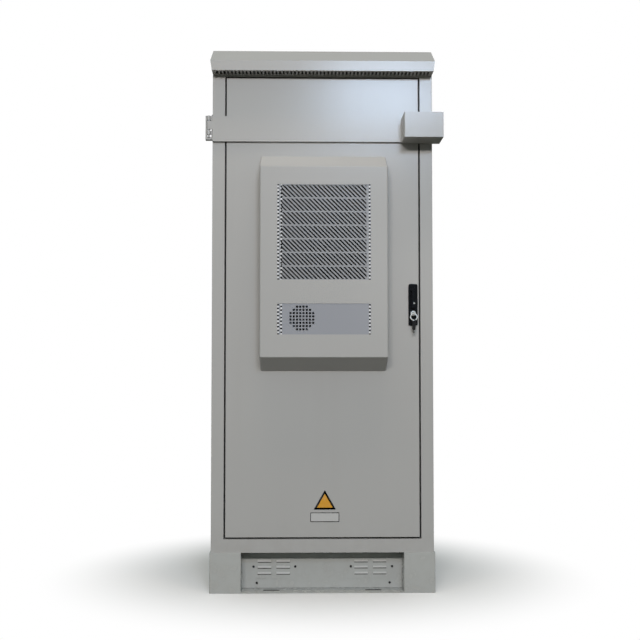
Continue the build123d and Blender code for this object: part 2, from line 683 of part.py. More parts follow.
def make_ac_cover():
    """The hood of the air conditioner, sloped at top and bottom, with windows for its grilles."""
    profile = [
        (DOOR_FACE_Y, AC_BACK_BOTTOM),
        (AC_FACE_Y, AC_FACE_BOTTOM),
        (AC_FACE_Y, AC_FACE_TOP),
        (DOOR_FACE_Y, AC_BACK_TOP),
    ]
    wall = THIN_SHEET
    reach = DOOR_FACE_Y - AC_FACE_Y
    top_slope = (AC_BACK_TOP - AC_FACE_TOP) / reach
    bottom_slope = (AC_FACE_BOTTOM - AC_BACK_BOTTOM) / reach
    top_drop = wall * math.hypot(1, top_slope)
    bottom_rise = wall * math.hypot(1, bottom_slope)
    hollow = [
        (DOOR_FACE_Y, AC_BACK_BOTTOM + bottom_rise),
        (AC_FACE_Y + wall, AC_FACE_BOTTOM - wall * bottom_slope + bottom_rise),
        (AC_FACE_Y + wall, AC_FACE_TOP + wall * top_slope - top_drop),
        (DOOR_FACE_Y, AC_BACK_TOP - top_drop),
    ]
    windows = ((CONDENSER_BOTTOM, CONDENSER_TOP), (FAN_GRILLE_BOTTOM, FAN_GRILLE_TOP))
    solid = rounded_hood(profile, AC_LEFT, AC_RIGHT, AC_CORNER_RADIUS, AC_BEND_RADIUS)
    space = rounded_hood(hollow, AC_LEFT + wall, AC_RIGHT - wall, AC_CORNER_RADIUS - wall,
                         AC_BEND_RADIUS - wall)
    with BuildPart() as cover:
        add(solid)
        add(space, mode=Mode.SUBTRACT)
        for low, high in windows:
            slab((GRILLE_LEFT, GRILLE_RIGHT), (AC_FACE_Y - 1, AC_FACE_Y + wall + 1), (low, high),
                 Mode.SUBTRACT)
    save(cover, "ac_cover")


def grille_blank(low, high):
    """Adds the flat sheet of a grille, behind the cover and lapping its window all round."""
    back = AC_FACE_Y + 2 * THIN_SHEET
    slab((GRILLE_LEFT - GRILLE_RIM, GRILLE_RIGHT + GRILLE_RIM), (AC_FACE_Y + THIN_SHEET, back),
         (low - GRILLE_RIM, high + GRILLE_RIM))


def make_condenser_grille():
    """The upper grille: rows of slanted slots with a plain strip between the rows."""
    band_pitch = (CONDENSER_TOP - CONDENSER_BOTTOM) / BAND_COUNT
    rise = band_pitch - BAND_GAP
    count = int((SLANT_FIELD_RIGHT - SLANT_FIELD_LEFT + rise) / SLANT_PITCH) + 1
    with BuildPart() as grille:
        grille_blank(CONDENSER_BOTTOM, CONDENSER_TOP)
        with BuildSketch(Plane.XZ.offset(-AC_FACE_Y)):
            for band in range(BAND_COUNT):
                top = CONDENSER_TOP - band * band_pitch - BAND_GAP / 2
                bottom = top - rise
                for step in range(count):
                    left = SLANT_FIELD_LEFT - rise + step * SLANT_PITCH
                    right = left + SLANT_WIDTH
                    Polygon((left, top), (right, top), (right + rise, bottom), (left + rise, bottom),
                            align=None)
            middle_x = (SLANT_FIELD_LEFT + SLANT_FIELD_RIGHT) / 2
            middle_z = (CONDENSER_BOTTOM + CONDENSER_TOP) / 2
            with Locations((middle_x, middle_z)):
                Rectangle(SLANT_FIELD_RIGHT - SLANT_FIELD_LEFT, CONDENSER_TOP - CONDENSER_BOTTOM,
                          mode=Mode.INTERSECT)
        extrude(amount=-4 * THIN_SHEET, mode=Mode.SUBTRACT)
    save(grille, "condenser_grille")


def make_fan_grille():
    """The lower grille: a plain sheet with a round field of square holes over the fan."""
    reach = int(FAN_HOLE_FIELD / FAN_HOLE_PITCH) + 1
    steps = [(index + 0.5) * FAN_HOLE_PITCH for index in range(-reach, reach)]
    with BuildPart() as grille:
        grille_blank(FAN_GRILLE_BOTTOM, FAN_GRILLE_TOP)
        with BuildSketch(Plane.XZ.offset(-AC_FACE_Y)):
            for x in steps:
                for z in steps:
                    if math.hypot(x, z) < FAN_HOLE_FIELD:
                        with Locations((FAN_X + x, FAN_Z + z)):
                            Rectangle(FAN_HOLE_SIZE, FAN_HOLE_SIZE)
        extrude(amount=-4 * THIN_SHEET, mode=Mode.SUBTRACT)
    save(grille, "fan_grille")


def make_ac_chassis():
    """The tray through the door that parts the outdoor air from the indoor air."""
    x_low, x_high = CUTOUT_X[0] + 2, CUTOUT_X[1] - 2
    z_low, z_high = CUTOUT_Z[0] + 2, CUTOUT_Z[1] - 2
    with BuildPart() as chassis:
        slab((x_low - 15, x_high + 15), (DOOR_FACE_Y - SHEET, DOOR_FACE_Y), (z_low - 15, z_high + 15))
        slab((x_low, x_high), (DOOR_FACE_Y, PARTITION_Y + SHEET), (z_low, z_high))
        slab((x_low + SHEET, x_high - SHEET), (DOOR_FACE_Y - SHEET, PARTITION_Y),
             (z_low + SHEET, z_high - SHEET), Mode.SUBTRACT)
        rod_along_y(BLOWER_X, BLOWER_Z, 4.0, PARTITION_Y + SHEET, PARTITION_Y + 60)
    save(chassis, "ac_chassis")


def make_coil(name, x, y, z, row_count):
    """A finned heat exchanger: end plates, a fin pack and the return bends of its tubes."""
    with BuildPart() as coil:
        slab((x[0] + 2, x[1] - 2), y, z)
        for edge in (x[0], x[1] - 2):
            back = (y[0], PARTITION_Y) if y[1] < PARTITION_Y else (PARTITION_Y + SHEET, y[1])
            slab((edge, edge + 2), back, z)
        pitch = (z[1] - z[0]) / row_count
        for row in range(row_count):
            height = z[0] + (row + 0.5) * pitch
            slab((x[1], x[1] + 9), (sum(y) / 2 - 4, sum(y) / 2 + 4), (height - pitch / 3, height + pitch / 3))
    save(coil, name)


def make_compressor():
    """The rotary compressor: a domed can with its accumulator, on a base plate."""
    x, y = 110.0, -436.0
    bottom = CUTOUT_Z[0] + 2 + SHEET
    with BuildPart() as compressor:
        slab((x - 62, x + 78), (y - 50, PARTITION_Y), (bottom + 4, bottom + 8))
        with BuildSketch(Plane.XZ.offset(-y)):
            dome = [(x, 8), (x + 50, 8), (x + 50, 150), (x + 34, 166), (x, 170)]
            Polygon(*[(radius, bottom + height) for radius, height in dome], align=None)
        revolve(axis=Axis((x, y, 0), (0, 0, 1)))
        rod_along_z(x + 62, y - 12, 14.0, bottom + 8, bottom + 120)
        slab((x + 40, x + 62), (y - 16, y - 8), (bottom + 20, bottom + 34))
    save(compressor, "compressor")


def make_condenser_fan():
    """The small axial fan: a square housing behind the grille and its bladed rotor."""
    front = AC_FACE_Y + 2 * THIN_SHEET
    back = front + 25
    with BuildPart() as housing:
        slab((FAN_X - 50, FAN_X + 50), (front, back), (FAN_Z - 50, FAN_Z + 50))
        drill(FAN_X, FAN_Z, 46.0, front - 1, back - 2)
        with BuildSketch(Plane.XZ.offset(-back)):
            with Locations((FAN_X, FAN_Z)):
                Circle(46)
                Rectangle(100, 6, mode=Mode.SUBTRACT)
                Rectangle(6, 100, mode=Mode.SUBTRACT)
                Circle(17, mode=Mode.SUBTRACT)
        extrude(amount=2, mode=Mode.SUBTRACT)
        drill(FAN_X, FAN_Z, 2.05, back - 3, back + 1)
    save(housing, "fan_housing")

    with BuildPart() as rotor:
        rod_along_y(FAN_X, FAN_Z, 16.0, front + 3, back - 3)
        rod_along_y(FAN_X, FAN_Z, 2.0, back - 3, back)
        middle = (front + back) / 2
        for blade in range(7):
            angle = 2 * math.pi / 7 * blade
            ray = Vector(math.cos(angle), 0, math.sin(angle))
            tangent = Vector(-ray.Z, 0, ray.X)
            lean = tangent * math.cos(math.radians(35)) + Vector(0, 1, 0) * math.sin(math.radians(35))
            blade_plane = Plane(origin=Vector(FAN_X, middle, FAN_Z) + ray * 13, x_dir=lean, z_dir=ray)
            with BuildSketch(blade_plane):
                Rectangle(24, 1.6)
            extrude(amount=29)
    save(rotor, "condenser_fan")


def make_evaporator_fan():
    """The indoor blower wheel: a back disc, a hub, curved blades and a front ring."""
    back = PARTITION_Y + SHEET + 8
    depth = 34
    with BuildPart() as wheel:
        rod_along_y(BLOWER_X, BLOWER_Z, 60.0, back, back + 2)
        rod_along_y(BLOWER_X, BLOWER_Z, 20.0, back, back + 24)
        with BuildSketch(Plane.XZ.offset(-(back + depth))):
            with Locations((BLOWER_X, BLOWER_Z)):
                Circle(60)
                Circle(48, mode=Mode.SUBTRACT)
        extrude(amount=2)
        with BuildSketch(Plane.XZ.offset(-(back + depth))):
            for blade in range(8):
                with Locations(Location((BLOWER_X, BLOWER_Z), 45 * blade)):
                    with Locations(Location((44, 0), 35)):
                        Rectangle(26, 2)
        extrude(amount=depth)
        drill(BLOWER_X, BLOWER_Z, 4.05, back - 1, back + depth)
    save(wheel, "evaporator_fan")


def make_inner_cover():
    """The cover on the inside of the door, with a round intake and a row of outlet slots."""
    x_low, x_high = CUTOUT_X[0] + 2, CUTOUT_X[1] - 2
    z_low, z_high = CUTOUT_Z[0] + 2, CUTOUT_Z[1] - 2
    wall = THIN_SHEET
    with BuildPart() as cover:
        slab((x_low, x_high), (PARTITION_Y + SHEET, INNER_COVER_Y), (z_low, z_high))
        back_edges = cover.edges().group_by(Axis.Y)[-1]
        chamfer(back_edges, 2)
        slab((x_low + wall, x_high - wall), (PARTITION_Y + SHEET, INNER_COVER_Y - wall),
             (z_low + wall, z_high - wall), Mode.SUBTRACT)
        with BuildSketch(Plane.XZ.offset(-INNER_COVER_Y)):
            with Locations((BLOWER_X, BLOWER_Z)):
                Circle(52)
                Rectangle(110, 5, mode=Mode.SUBTRACT)
                Rectangle(5, 110, mode=Mode.SUBTRACT)
                Circle(30, mode=Mode.SUBTRACT)
            with Locations((BLOWER_X, BLOWER_Z)):
                Circle(26)
                Rectangle(110, 5, mode=Mode.SUBTRACT)
                Rectangle(5, 110, mode=Mode.SUBTRACT)
            with Locations((BLOWER_X, 960)):
                with GridLocations(160, 16, 2, 7):
                    Rectangle(140, 8)
        extrude(amount=wall, mode=Mode.SUBTRACT)
    save(cover, "ac_inner_cover")


def make_handle_base():
    """The black handle plate, with bosses through the door for the spindle and the lock plug."""
    middle = (HANDLE_BOTTOM + HANDLE_TOP) / 2
    with BuildPart() as base:
        with BuildSketch(Plane.XZ.offset(-DOOR_FACE_Y)):
            with Locations((HANDLE_X, middle)):
                RectangleRounded(HANDLE_WIDTH, HANDLE_TOP - HANDLE_BOTTOM, 6)
        extrude(amount=DOOR_FACE_Y - HANDLE_FACE_Y)
        chamfer(base.faces().sort_by(Axis.Y)[0].edges(), 1.5)
        rod_along_y(HANDLE_X, KEY_Z, 8.5, HANDLE_FACE_Y - 2, HANDLE_FACE_Y)
        for z in (SPINDLE_Z, KEY_Z):
            rod_along_y(HANDLE_X, z, 7.2, DOOR_FACE_Y, DOOR_FACE_Y + 12)
        drill(HANDLE_X, SPINDLE_Z, 5.05, HANDLE_FACE_Y - 1, DOOR_FACE_Y + 13)
        drill(HANDLE_X, KEY_Z, 4.55, HANDLE_FACE_Y - 3, DOOR_FACE_Y + 13)
    save(base, "handle_base")


def make_handle_spindle():
    """The spindle: a slotted hub, a round journal and the square that drives the pinion."""
    with BuildPart() as spindle:
        rod_along_y(HANDLE_X, SPINDLE_Z, 9.5, LEVER_AXIS_Y - 4, HANDLE_FACE_Y - 0.1)
        slab((HANDLE_X - 4.2, HANDLE_X + 4.2), (LEVER_AXIS_Y - 5, LEVER_AXIS_Y + 4),
             (SPINDLE_Z - 12, SPINDLE_Z + 12), Mode.SUBTRACT)
        rod_along_y(HANDLE_X, SPINDLE_Z, 5.0, HANDLE_FACE_Y - 0.2, DOOR_BACK_Y)
        slab((HANDLE_X - 3.5, HANDLE_X + 3.5), (DOOR_BACK_Y, ROD_Y + 5), (SPINDLE_Z - 3.5, SPINDLE_Z + 3.5))
        rod_along_y(HANDLE_X, SPINDLE_Z, 3.0, ROD_Y + 5, ROD_Y + 10)
        with BuildSketch(Plane.YZ.offset(HANDLE_X - 8)):
            with Locations((LEVER_AXIS_Y, SPINDLE_Z)):
                Circle(1.5)
        extrude(amount=16)
    save(spindle, "handle_spindle")


def make_handle_lever():
    """The lever: a rounded grip whose narrow tongue turns on the hub's cross pin."""
    front = LEVER_AXIS_Y - 3.6
    grip_back = HANDLE_FACE_Y - 0.6
    with BuildPart() as lever:
        with BuildSketch(Plane.XZ.offset(-grip_back)):
            with Locations((HANDLE_X, 1047)):
                RectangleRounded(17, 58, 5)
        extrude(amount=grip_back - front)
        chamfer(lever.faces().sort_by(Axis.Y)[0].edges(), 2.0)
        slab((HANDLE_X - 4, HANDLE_X + 4), (LEVER_AXIS_Y - 3.5, LEVER_AXIS_Y + 3.5), (1070, SPINDLE_Z))
        with BuildSketch(Plane.YZ.offset(HANDLE_X - 4)):
            with Locations((LEVER_AXIS_Y, SPINDLE_Z)):
                Circle(3.5)
        extrude(amount=8)
        with BuildSketch(Plane.YZ.offset(HANDLE_X - 4)):
            with Locations((LEVER_AXIS_Y, SPINDLE_Z)):
                Circle(1.55)
        extrude(amount=8, mode=Mode.SUBTRACT)
    save(lever, "handle_lever")


def involute_half_angle(radius):
    """Half the angle that a pinion tooth spans at a radius outside its base circle."""
    def involute(angle):
        return math.tan(angle) - angle
    half_pitch = (GEAR_PITCH / 2 - GEAR_BACKLASH) / 2 / PITCH_RADIUS
    here = math.acos(min(1.0, BASE_RADIUS / radius))
    return half_pitch + involute(PRESSURE_ANGLE) - involute(here)


def pinion_outline():
    """The pinion's outline, tooth by tooth, round the spindle."""
    root = PITCH_RADIUS - PINION_DEDENDUM
    tip = PITCH_RADIUS + PINION_ADDENDUM
    flank = [BASE_RADIUS + 0.01, (BASE_RADIUS + PITCH_RADIUS) / 2, PITCH_RADIUS, tip]
    half = [(root, involute_half_angle(flank[0]))]
    half += [(radius, involute_half_angle(radius)) for radius in flank]
    tooth = [(radius, -angle) for radius, angle in half]
    tooth += reversed(half)
    outline = []
    for index in range(GEAR_TEETH):
        turn = 2 * math.pi * index / GEAR_TEETH
        for radius, angle in tooth:
            outline.append((HANDLE_X + radius * math.cos(turn + angle),
                            SPINDLE_Z + radius * math.sin(turn + angle)))
    return outline


def rack_outline():
    """The toothed bar of the upper rod, whose teeth point at the pinion."""
    pitch_x = HANDLE_X + PITCH_RADIUS
    half = (GEAR_PITCH / 2 - GEAR_BACKLASH) / 2
    slope = math.tan(PRESSURE_ANGLE)
    root_x = pitch_x + RACK_DEDENDUM
    tip_x = pitch_x - RACK_ADDENDUM
    back_x = pitch_x + 5.9
    outline = [(back_x, SPINDLE_Z - 22), (root_x, SPINDLE_Z - 22)]
    wide = half + RACK_DEDENDUM * slope
    narrow = half - RACK_ADDENDUM * slope
    for tooth in range(-3, 6):
        centre = SPINDLE_Z + (tooth + 0.5) * GEAR_PITCH
        outline += [(root_x, centre - wide), (tip_x, centre - narrow)]
        outline += [(tip_x, centre + narrow), (root_x, centre + wide)]
    outline += [(root_x, SPINDLE_Z + 44), (back_x, SPINDLE_Z + 44)]
    return outline


def turned(points):
    """The same outline turned half a turn about the spindle."""
    return [(2 * HANDLE_X - x, 2 * SPINDLE_Z - z) for x, z in points]


def make_lock_rod(name, outline, bridge_x, bridge_z, rod_z):
    """One lock rod: a toothed bar, a bridge and the round rod that reaches the frame."""
    with BuildPart() as rod:
        with BuildSketch(Plane.XZ.offset(-(ROD_Y + 4))):
            Polygon(*outline, align=None)
        extrude(amount=8)
        slab(bridge_x, (ROD_Y - 4, ROD_Y + 4), bridge_z)
        rod_along_z(HANDLE_X, ROD_Y, ROD_RADIUS, rod_z[0], rod_z[1])
    save(rod, name)


def make_lock():
    """The gearbox, pinion, rods and guides behind the handle."""
    with BuildPart() as gearbox:
        section = [(341, DOOR_BACK_Y), (308, DOOR_BACK_Y), (308, ROD_Y + 10), (341, ROD_Y + 10)]
        fold(section, SHEET, Plane.XY.offset(SPINDLE_Z - 58), 116, Side.RIGHT)
        drill(HANDLE_X, SPINDLE_Z, 5.3, DOOR_BACK_Y - 1, DOOR_BACK_Y + 3)
        drill(HANDLE_X, SPINDLE_Z, 3.05, ROD_Y + 7, ROD_Y + 11)
    save(gearbox, "lock_gearbox")

    with BuildPart() as pinion:
        with BuildSketch(Plane.XZ.offset(-(ROD_Y + 4))):
            Polygon(*pinion_outline(), align=None)
            with Locations((HANDLE_X, SPINDLE_Z)):
                Rectangle(7, 7, mode=Mode.SUBTRACT)
        extrude(amount=8)
    save(pinion, "lock_pinion")

    rack = rack_outline()
    back = HANDLE_X + PITCH_RADIUS + 5.9
    low_back = 2 * HANDLE_X - back
    joint_low = SPINDLE_Z + 34
    joint_high = SPINDLE_Z + 44
    make_lock_rod("upper_lock_rod", rack, (HANDLE_X - 4, back), (joint_low, joint_high),
                  (joint_low, UPPER_ROD_TIP))
    make_lock_rod("lower_lock_rod", turned(rack), (low_back, HANDLE_X + 4),
                  (2 * SPINDLE_Z - joint_high, 2 * SPINDLE_Z - joint_low),
                  (LOWER_ROD_TIP, 2 * SPINDLE_Z - joint_low))

    with BuildPart() as guides:
        for z in GUIDE_HEIGHTS:
            slab((HANDLE_X - 10.5, HANDLE_X + 10.5), (DOOR_BACK_Y, ROD_Y + 8), (z - 7, z + 7))
            rod_along_z(HANDLE_X, ROD_Y, ROD_RADIUS + 0.1, z - 8, z + 8, Mode.SUBTRACT)
    save(guides, "rod_guides")


def make_keys():
    """The lock plug, the key in it, the ring through its bow and the spare key on the ring."""
    with BuildPart() as plug:
        rod_along_y(HANDLE_X, KEY_Z, 4.5, HANDLE_FACE_Y - 2, DOOR_FACE_Y + 12)
        slab((HANDLE_X - 1, HANDLE_X + 1), (HANDLE_FACE_Y - 3, DOOR_FACE_Y + 6), (KEY_Z - 3.2, KEY_Z + 3.2),
             Mode.SUBTRACT)
    save(plug, "lock_plug")

    with BuildPart() as key:
        with BuildSketch(Plane.YZ.offset(HANDLE_X - 1)):
            with Locations((KEY_HOLE_Y, KEY_Z)):
                Circle(9.5)
            with Locations(((KEY_HOLE_Y + DOOR_FACE_Y) / 2, KEY_Z)):
                Rectangle(DOOR_FACE_Y - KEY_HOLE_Y, 6.2)
            with Locations((KEY_HOLE_Y, KEY_Z)):
                Circle(BOW_HOLE_RADIUS, mode=Mode.SUBTRACT)
        extrude(amount=2)
    save(key, "key")

    inner, outer = KEY_RING_RADII
    ring_z = KEY_Z - BOW_HOLE_RADIUS + 0.35 - inner
    with BuildPart() as ring:
        with BuildSketch(Plane.XZ.offset(-KEY_HOLE_Y - KEY_RING_WIDTH / 2)):
            with Locations((HANDLE_X, ring_z)):
                Circle(outer)
                Circle(inner, mode=Mode.SUBTRACT)
        extrude(amount=KEY_RING_WIDTH)
    save(ring, "key_ring")

    hang_z = ring_z - (inner + outer) / 2
    hole_z = hang_z - 0.6
    spare_plane = Plane(origin=(HANDLE_X, KEY_HOLE_Y, hole_z), x_dir=(-1, 1, 0), z_dir=(1, 1, 0))
    with BuildPart() as spare:
        with BuildSketch(spare_plane.offset(-1)):
            with Locations((0, -14.5)):
                RectangleRounded(15, 40, 5)
            with Locations((0, -40)):
                Rectangle(5.5, 12)
            Circle(SPARE_HOLE_RADIUS, mode=Mode.SUBTRACT)
        extrude(amount=2)
    save(spare, "spare_key")


def main():
    """Builds every piece of the cabinet and writes it to the parts folder."""
    os.makedirs("parts", exist_ok=True)
    make_plinth_side("plinth_side_left", -1)
    make_plinth_side("plinth_side_right", 1)
    make_plinth_panel("plinth_front_panel", -1, True)
    make_plinth_panel("plinth_rear_panel", 1, False)
    make_vent_plate("vent_plate_left", -VENT_PLATE_X)
    make_vent_plate("vent_plate_right", VENT_PLATE_X)
    make_plinth_bolts()
    make_front_post("front_post_left", -1)
    make_front_post("front_post_right", 1)
    make_cross_member("frame_header", OPENING_TOP, BODY_TOP, OPENING_TOP - LIP_WIDTH, OPENING_TOP)
    make_cross_member("frame_sill", PLINTH_HEIGHT, OPENING_BOTTOM, OPENING_BOTTOM,
                      OPENING_BOTTOM + LIP_WIDTH)
    make_side_panel("side_panel_left", -1)
    make_side_panel("side_panel_right", 1)
    make_rear_panel()
    make_floor_plate()
    make_gland_plate()
    make_top_plate()
    make_canopy_shell()
    make_vent_strip("canopy_vent_strip_front", -1)
    make_vent_strip("canopy_vent_strip_rear", 1)
    make_canopy_spacers()
    make_rack_rail("rack_rail_front_left", -1, -1)
    make_rack_rail("rack_rail_front_right", 1, -1)
    make_rack_rail("rack_rail_rear_left", -1, 1)
    make_rack_rail("rack_rail_rear_right", 1, 1)
    make_rail_supports()
    make_door_gasket()
    make_hinge_leaves()
    make_bar_bracket()
    make_security_bar()
    make_lock_box()
    make_padlock_staple()
    make_door_panel()
    make_stiffeners()
    make_ac_cover()
    make_condenser_grille()
    make_fan_grille()
    make_ac_chassis()
    make_coil("condenser_coil", (-160, 168), (-472, -436), (1116, 1450), 8)
    make_coil("evaporator_coil", (-160, 168), (-360, -326), (1120, 1260), 4)
    make_compressor()
    make_condenser_fan()
    make_evaporator_fan()
    make_inner_cover()
    make_handle_base()
    make_handle_spindle()
    make_handle_lever()
    make_lock()
    make_keys()


if __name__ == "__main__":
    main()
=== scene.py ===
"""Finishes, small fittings and studio for a roadside equipment cabinet.

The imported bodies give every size. Paint, zinc, rubber and plastic are procedural and read
Object coordinates, so that a finish moves with the piece it is on.
"""

from __future__ import annotations

import logging
import math
from dataclasses import dataclass, field
from enum import Enum
from typing import Any, Callable, Iterable, Mapping, Optional, Sequence, Union

import bpy
from mathutils import Matrix, Vector

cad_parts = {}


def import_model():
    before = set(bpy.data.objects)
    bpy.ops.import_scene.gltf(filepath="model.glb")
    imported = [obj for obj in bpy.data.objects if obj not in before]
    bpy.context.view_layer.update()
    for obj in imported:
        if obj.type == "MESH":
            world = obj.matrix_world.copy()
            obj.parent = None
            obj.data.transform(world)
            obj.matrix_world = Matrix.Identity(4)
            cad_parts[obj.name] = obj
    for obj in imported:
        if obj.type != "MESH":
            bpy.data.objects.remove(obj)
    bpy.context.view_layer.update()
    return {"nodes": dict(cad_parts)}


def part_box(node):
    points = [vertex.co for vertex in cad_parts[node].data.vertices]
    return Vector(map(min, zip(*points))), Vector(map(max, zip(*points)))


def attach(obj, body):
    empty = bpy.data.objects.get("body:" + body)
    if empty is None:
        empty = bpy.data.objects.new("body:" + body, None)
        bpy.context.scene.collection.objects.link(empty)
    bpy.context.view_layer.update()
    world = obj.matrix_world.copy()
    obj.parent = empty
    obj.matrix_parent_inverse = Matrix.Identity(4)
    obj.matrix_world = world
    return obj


log = logging.getLogger("cabinet")

Colour = tuple[float, float, float]
Point = tuple[float, float, float]
Pair = tuple[float, float]

EVEN: Point = (1.0, 1.0, 1.0)
UPRIGHT: Point = (1.0, 1.0, 0.05)
WHITE: Colour = (1.0, 1.0, 1.0)
BODY_GREY: Colour = (0.385, 0.383, 0.372)
SHARP_ANGLE = math.radians(30.0)
SMOOTH_ANGLE = math.radians(35.0)


class Body(str, Enum):
    """The rigid bodies that a fitting can ride on."""

    ENCLOSURE = "enclosure"
    DOOR = "door"
    LEVER = "handle_lever"


class Slot(str, Enum):
    """The record's material slots used by the fittings."""

    PAINT = "body_paint"
    HARDWARE = "hardware"
    HANDLE = "black_handle"


class Element(str, Enum):
    """What a selection in a mesh is made of."""

    FACE = "FACE"
    EDGE = "EDGE"


class Facing(Enum):
    """Which way a fitting's face looks, as its turn about the vertical in degrees."""

    FRONT = 0.0
    LEFT = -90.0
    BACK = 180.0


class Channel:
    """One output of a shader node, used in ordinary Python expressions."""

    def __init__(self, graph: "Finish", socket: bpy.types.NodeSocket) -> None:
        """Keeps the graph that new nodes go into and the output that the value comes from."""
        self.graph = graph
        self.socket = socket

    def _math(self, operation: str, *values: Any) -> "Channel":
        """The result of one Math node on some numbers or channels."""
        return self.graph.add("ShaderNodeMath", {"operation": operation}, dict(enumerate(values)))

    def __add__(self, other: Any) -> "Channel":
        """Sum."""
        return self._math("ADD", self, other)

    __radd__ = __add__

    def __sub__(self, other: Any) -> "Channel":
        """Difference."""
        return self._math("SUBTRACT", self, other)

    def __rsub__(self, other: Any) -> "Channel":
        """Difference with the number first."""
        return self._math("SUBTRACT", other, self)

    def __mul__(self, other: Any) -> "Channel":
        """Product."""
        return self._math("MULTIPLY", self, other)

    __rmul__ = __mul__

    def __truediv__(self, other: Any) -> "Channel":
        """Quotient."""
        return self._math("DIVIDE", self, other)

    def __gt__(self, other: Any) -> "Channel":
        """1 where this is greater, else 0."""
        return self._math("GREATER_THAN", self, other)

    def __lt__(self, other: Any) -> "Channel":
        """1 where this is smaller, else 0."""
        return self._math("LESS_THAN", self, other)

    def repeat(self, period: float) -> "Channel":
        """The value's place inside its period, from 0 to 1."""
        return self._math("FRACT", self / period)

    def size(self) -> "Channel":
        """The value without its sign."""
        return self._math("ABSOLUTE", self)

    def ease(self, low: float, high: float) -> "Channel":
        """A smooth step.

        Args:
            low: Where the step is 0.
            high: Where it is 1; it may be below low.

        Returns:
            The eased value, held between 0 and 1.
        """
        turned = high < low
        limits = {"From Min": min(low, high), "From Max": max(low, high), "Value": self}
        step = self.graph.add("ShaderNodeMapRange", {"interpolation_type": "SMOOTHSTEP"}, limits)
        return 1.0 - step if turned else step


def shaded(colour: Colour, factor: float) -> Colour:
    """The colour made lighter or darker by a factor."""
    return tuple(min(1.0, part * factor) for part in colour)


class Finish:
    """A material under construction: one method adds any node."""

    def __init__(self, name: str, world: Optional[bpy.types.World] = None) -> None:
        """Starts an empty material, or empties a world's nodes.

        Args:
            name: The material's name.
            world: The world whose nodes are used instead of a new material's.
        """
        self.material = world or bpy.data.materials.new(name)
        self.material.use_nodes = True
        self.tree = self.material.node_tree
        self.tree.nodes.clear()
        self._axes: Optional[list[Channel]] = None
        self._place: Optional[Channel] = None

    def add(self, kind: str, settings: Optional[Mapping[str, Any]] = None,
            inputs: Optional[Mapping[Any, Any]] = None, output: Union[int, str] = 0) -> Channel:
        """Adds a node, sets it up and links it.

        Args:
            kind: The node's type.
            settings: Its properties.
            inputs: Values or channels for its sockets, by name or number.
            output: Which output is returned.

        Returns:
            The chosen output.
        """
        node = self.tree.nodes.new(kind)
        for name, value in (settings or {}).items():
            setattr(node, name, value)
        for key, value in (inputs or {}).items():
            if isinstance(value, Channel):
                self.tree.links.new(value.socket, node.inputs[key])
            elif isinstance(value, tuple) and len(value) == 3 and node.inputs[key].type == "RGBA":
                node.inputs[key].default_value = (*value, 1.0)
            else:
                node.inputs[key].default_value = value
        if not node.outputs:
            return Channel(self, node.inputs[0])
        return Channel(self, node.outputs[output])

    def place(self) -> Channel:
        """Reads the point on the piece.

        Returns:
            The point, in the piece's own metres.
        """
        if self._place is None:
            self._place = self.add("ShaderNodeTexCoord", output="Object")
        return self._place

    def axis(self, index: int) -> Channel:
        """Reads one coordinate of the point on the piece.

        Args:
            index: 0, 1 or 2 for X, Y or Z.

        Returns:
            The coordinate.
        """
        if self._axes is None:
            split = self.add("ShaderNodeSeparateXYZ", inputs={0: self.place()})
            node = split.socket.node
            self._axes = [Channel(self, node.outputs[i]) for i in range(3)]
        return self._axes[index]

    def noise(self, scale: float, detail: float = 2.0, stretch: Point = EVEN) -> Channel:
        """Soft random variation.

        Args:
            scale: Cells to the metre.
            detail: Finer layers on top.
            stretch: Scale along each axis before the noise.

        Returns:
            The noise, centred near 0.5.
        """
        where = self.place()
        if stretch != EVEN:
            where = self.add("ShaderNodeMapping", inputs={"Vector": where, "Scale": stretch})
        inputs = {"Vector": where, "Scale": scale, "Detail": detail}
        return self.add("ShaderNodeTexNoise", inputs=inputs)

    def blend(self, factor: Any, first: Any, second: Any) -> Channel:
        """Two colours mixed, with the factor telling how much of the second."""
        return self.add("ShaderNodeMix", {"data_type": "RGBA"}, {0: factor, 6: first, 7: second}, 2)

    def bump(self, height: Channel, distance: float, strength: float = 1.0) -> Channel:
        """The normal that a height from 0 to 1, of some distance in metres, bends."""
        inputs = {"Height": height, "Distance": distance, "Strength": strength}
        return self.add("ShaderNodeBump", inputs=inputs)

    def close(self, **surface: Any) -> bpy.types.Material:
        """Adds the surface shader and its output.

        Args:
            **surface: Values or channels, with underscores for the spaces in a socket's name.

        Returns:
            The finished material.
        """
        inputs = {name.replace("_", " "): value for name, value in surface.items()}
        shader = self.add("ShaderNodeBsdfPrincipled", inputs=inputs)
        self.add("ShaderNodeOutputMaterial", inputs={"Surface": shader})
        return self.material


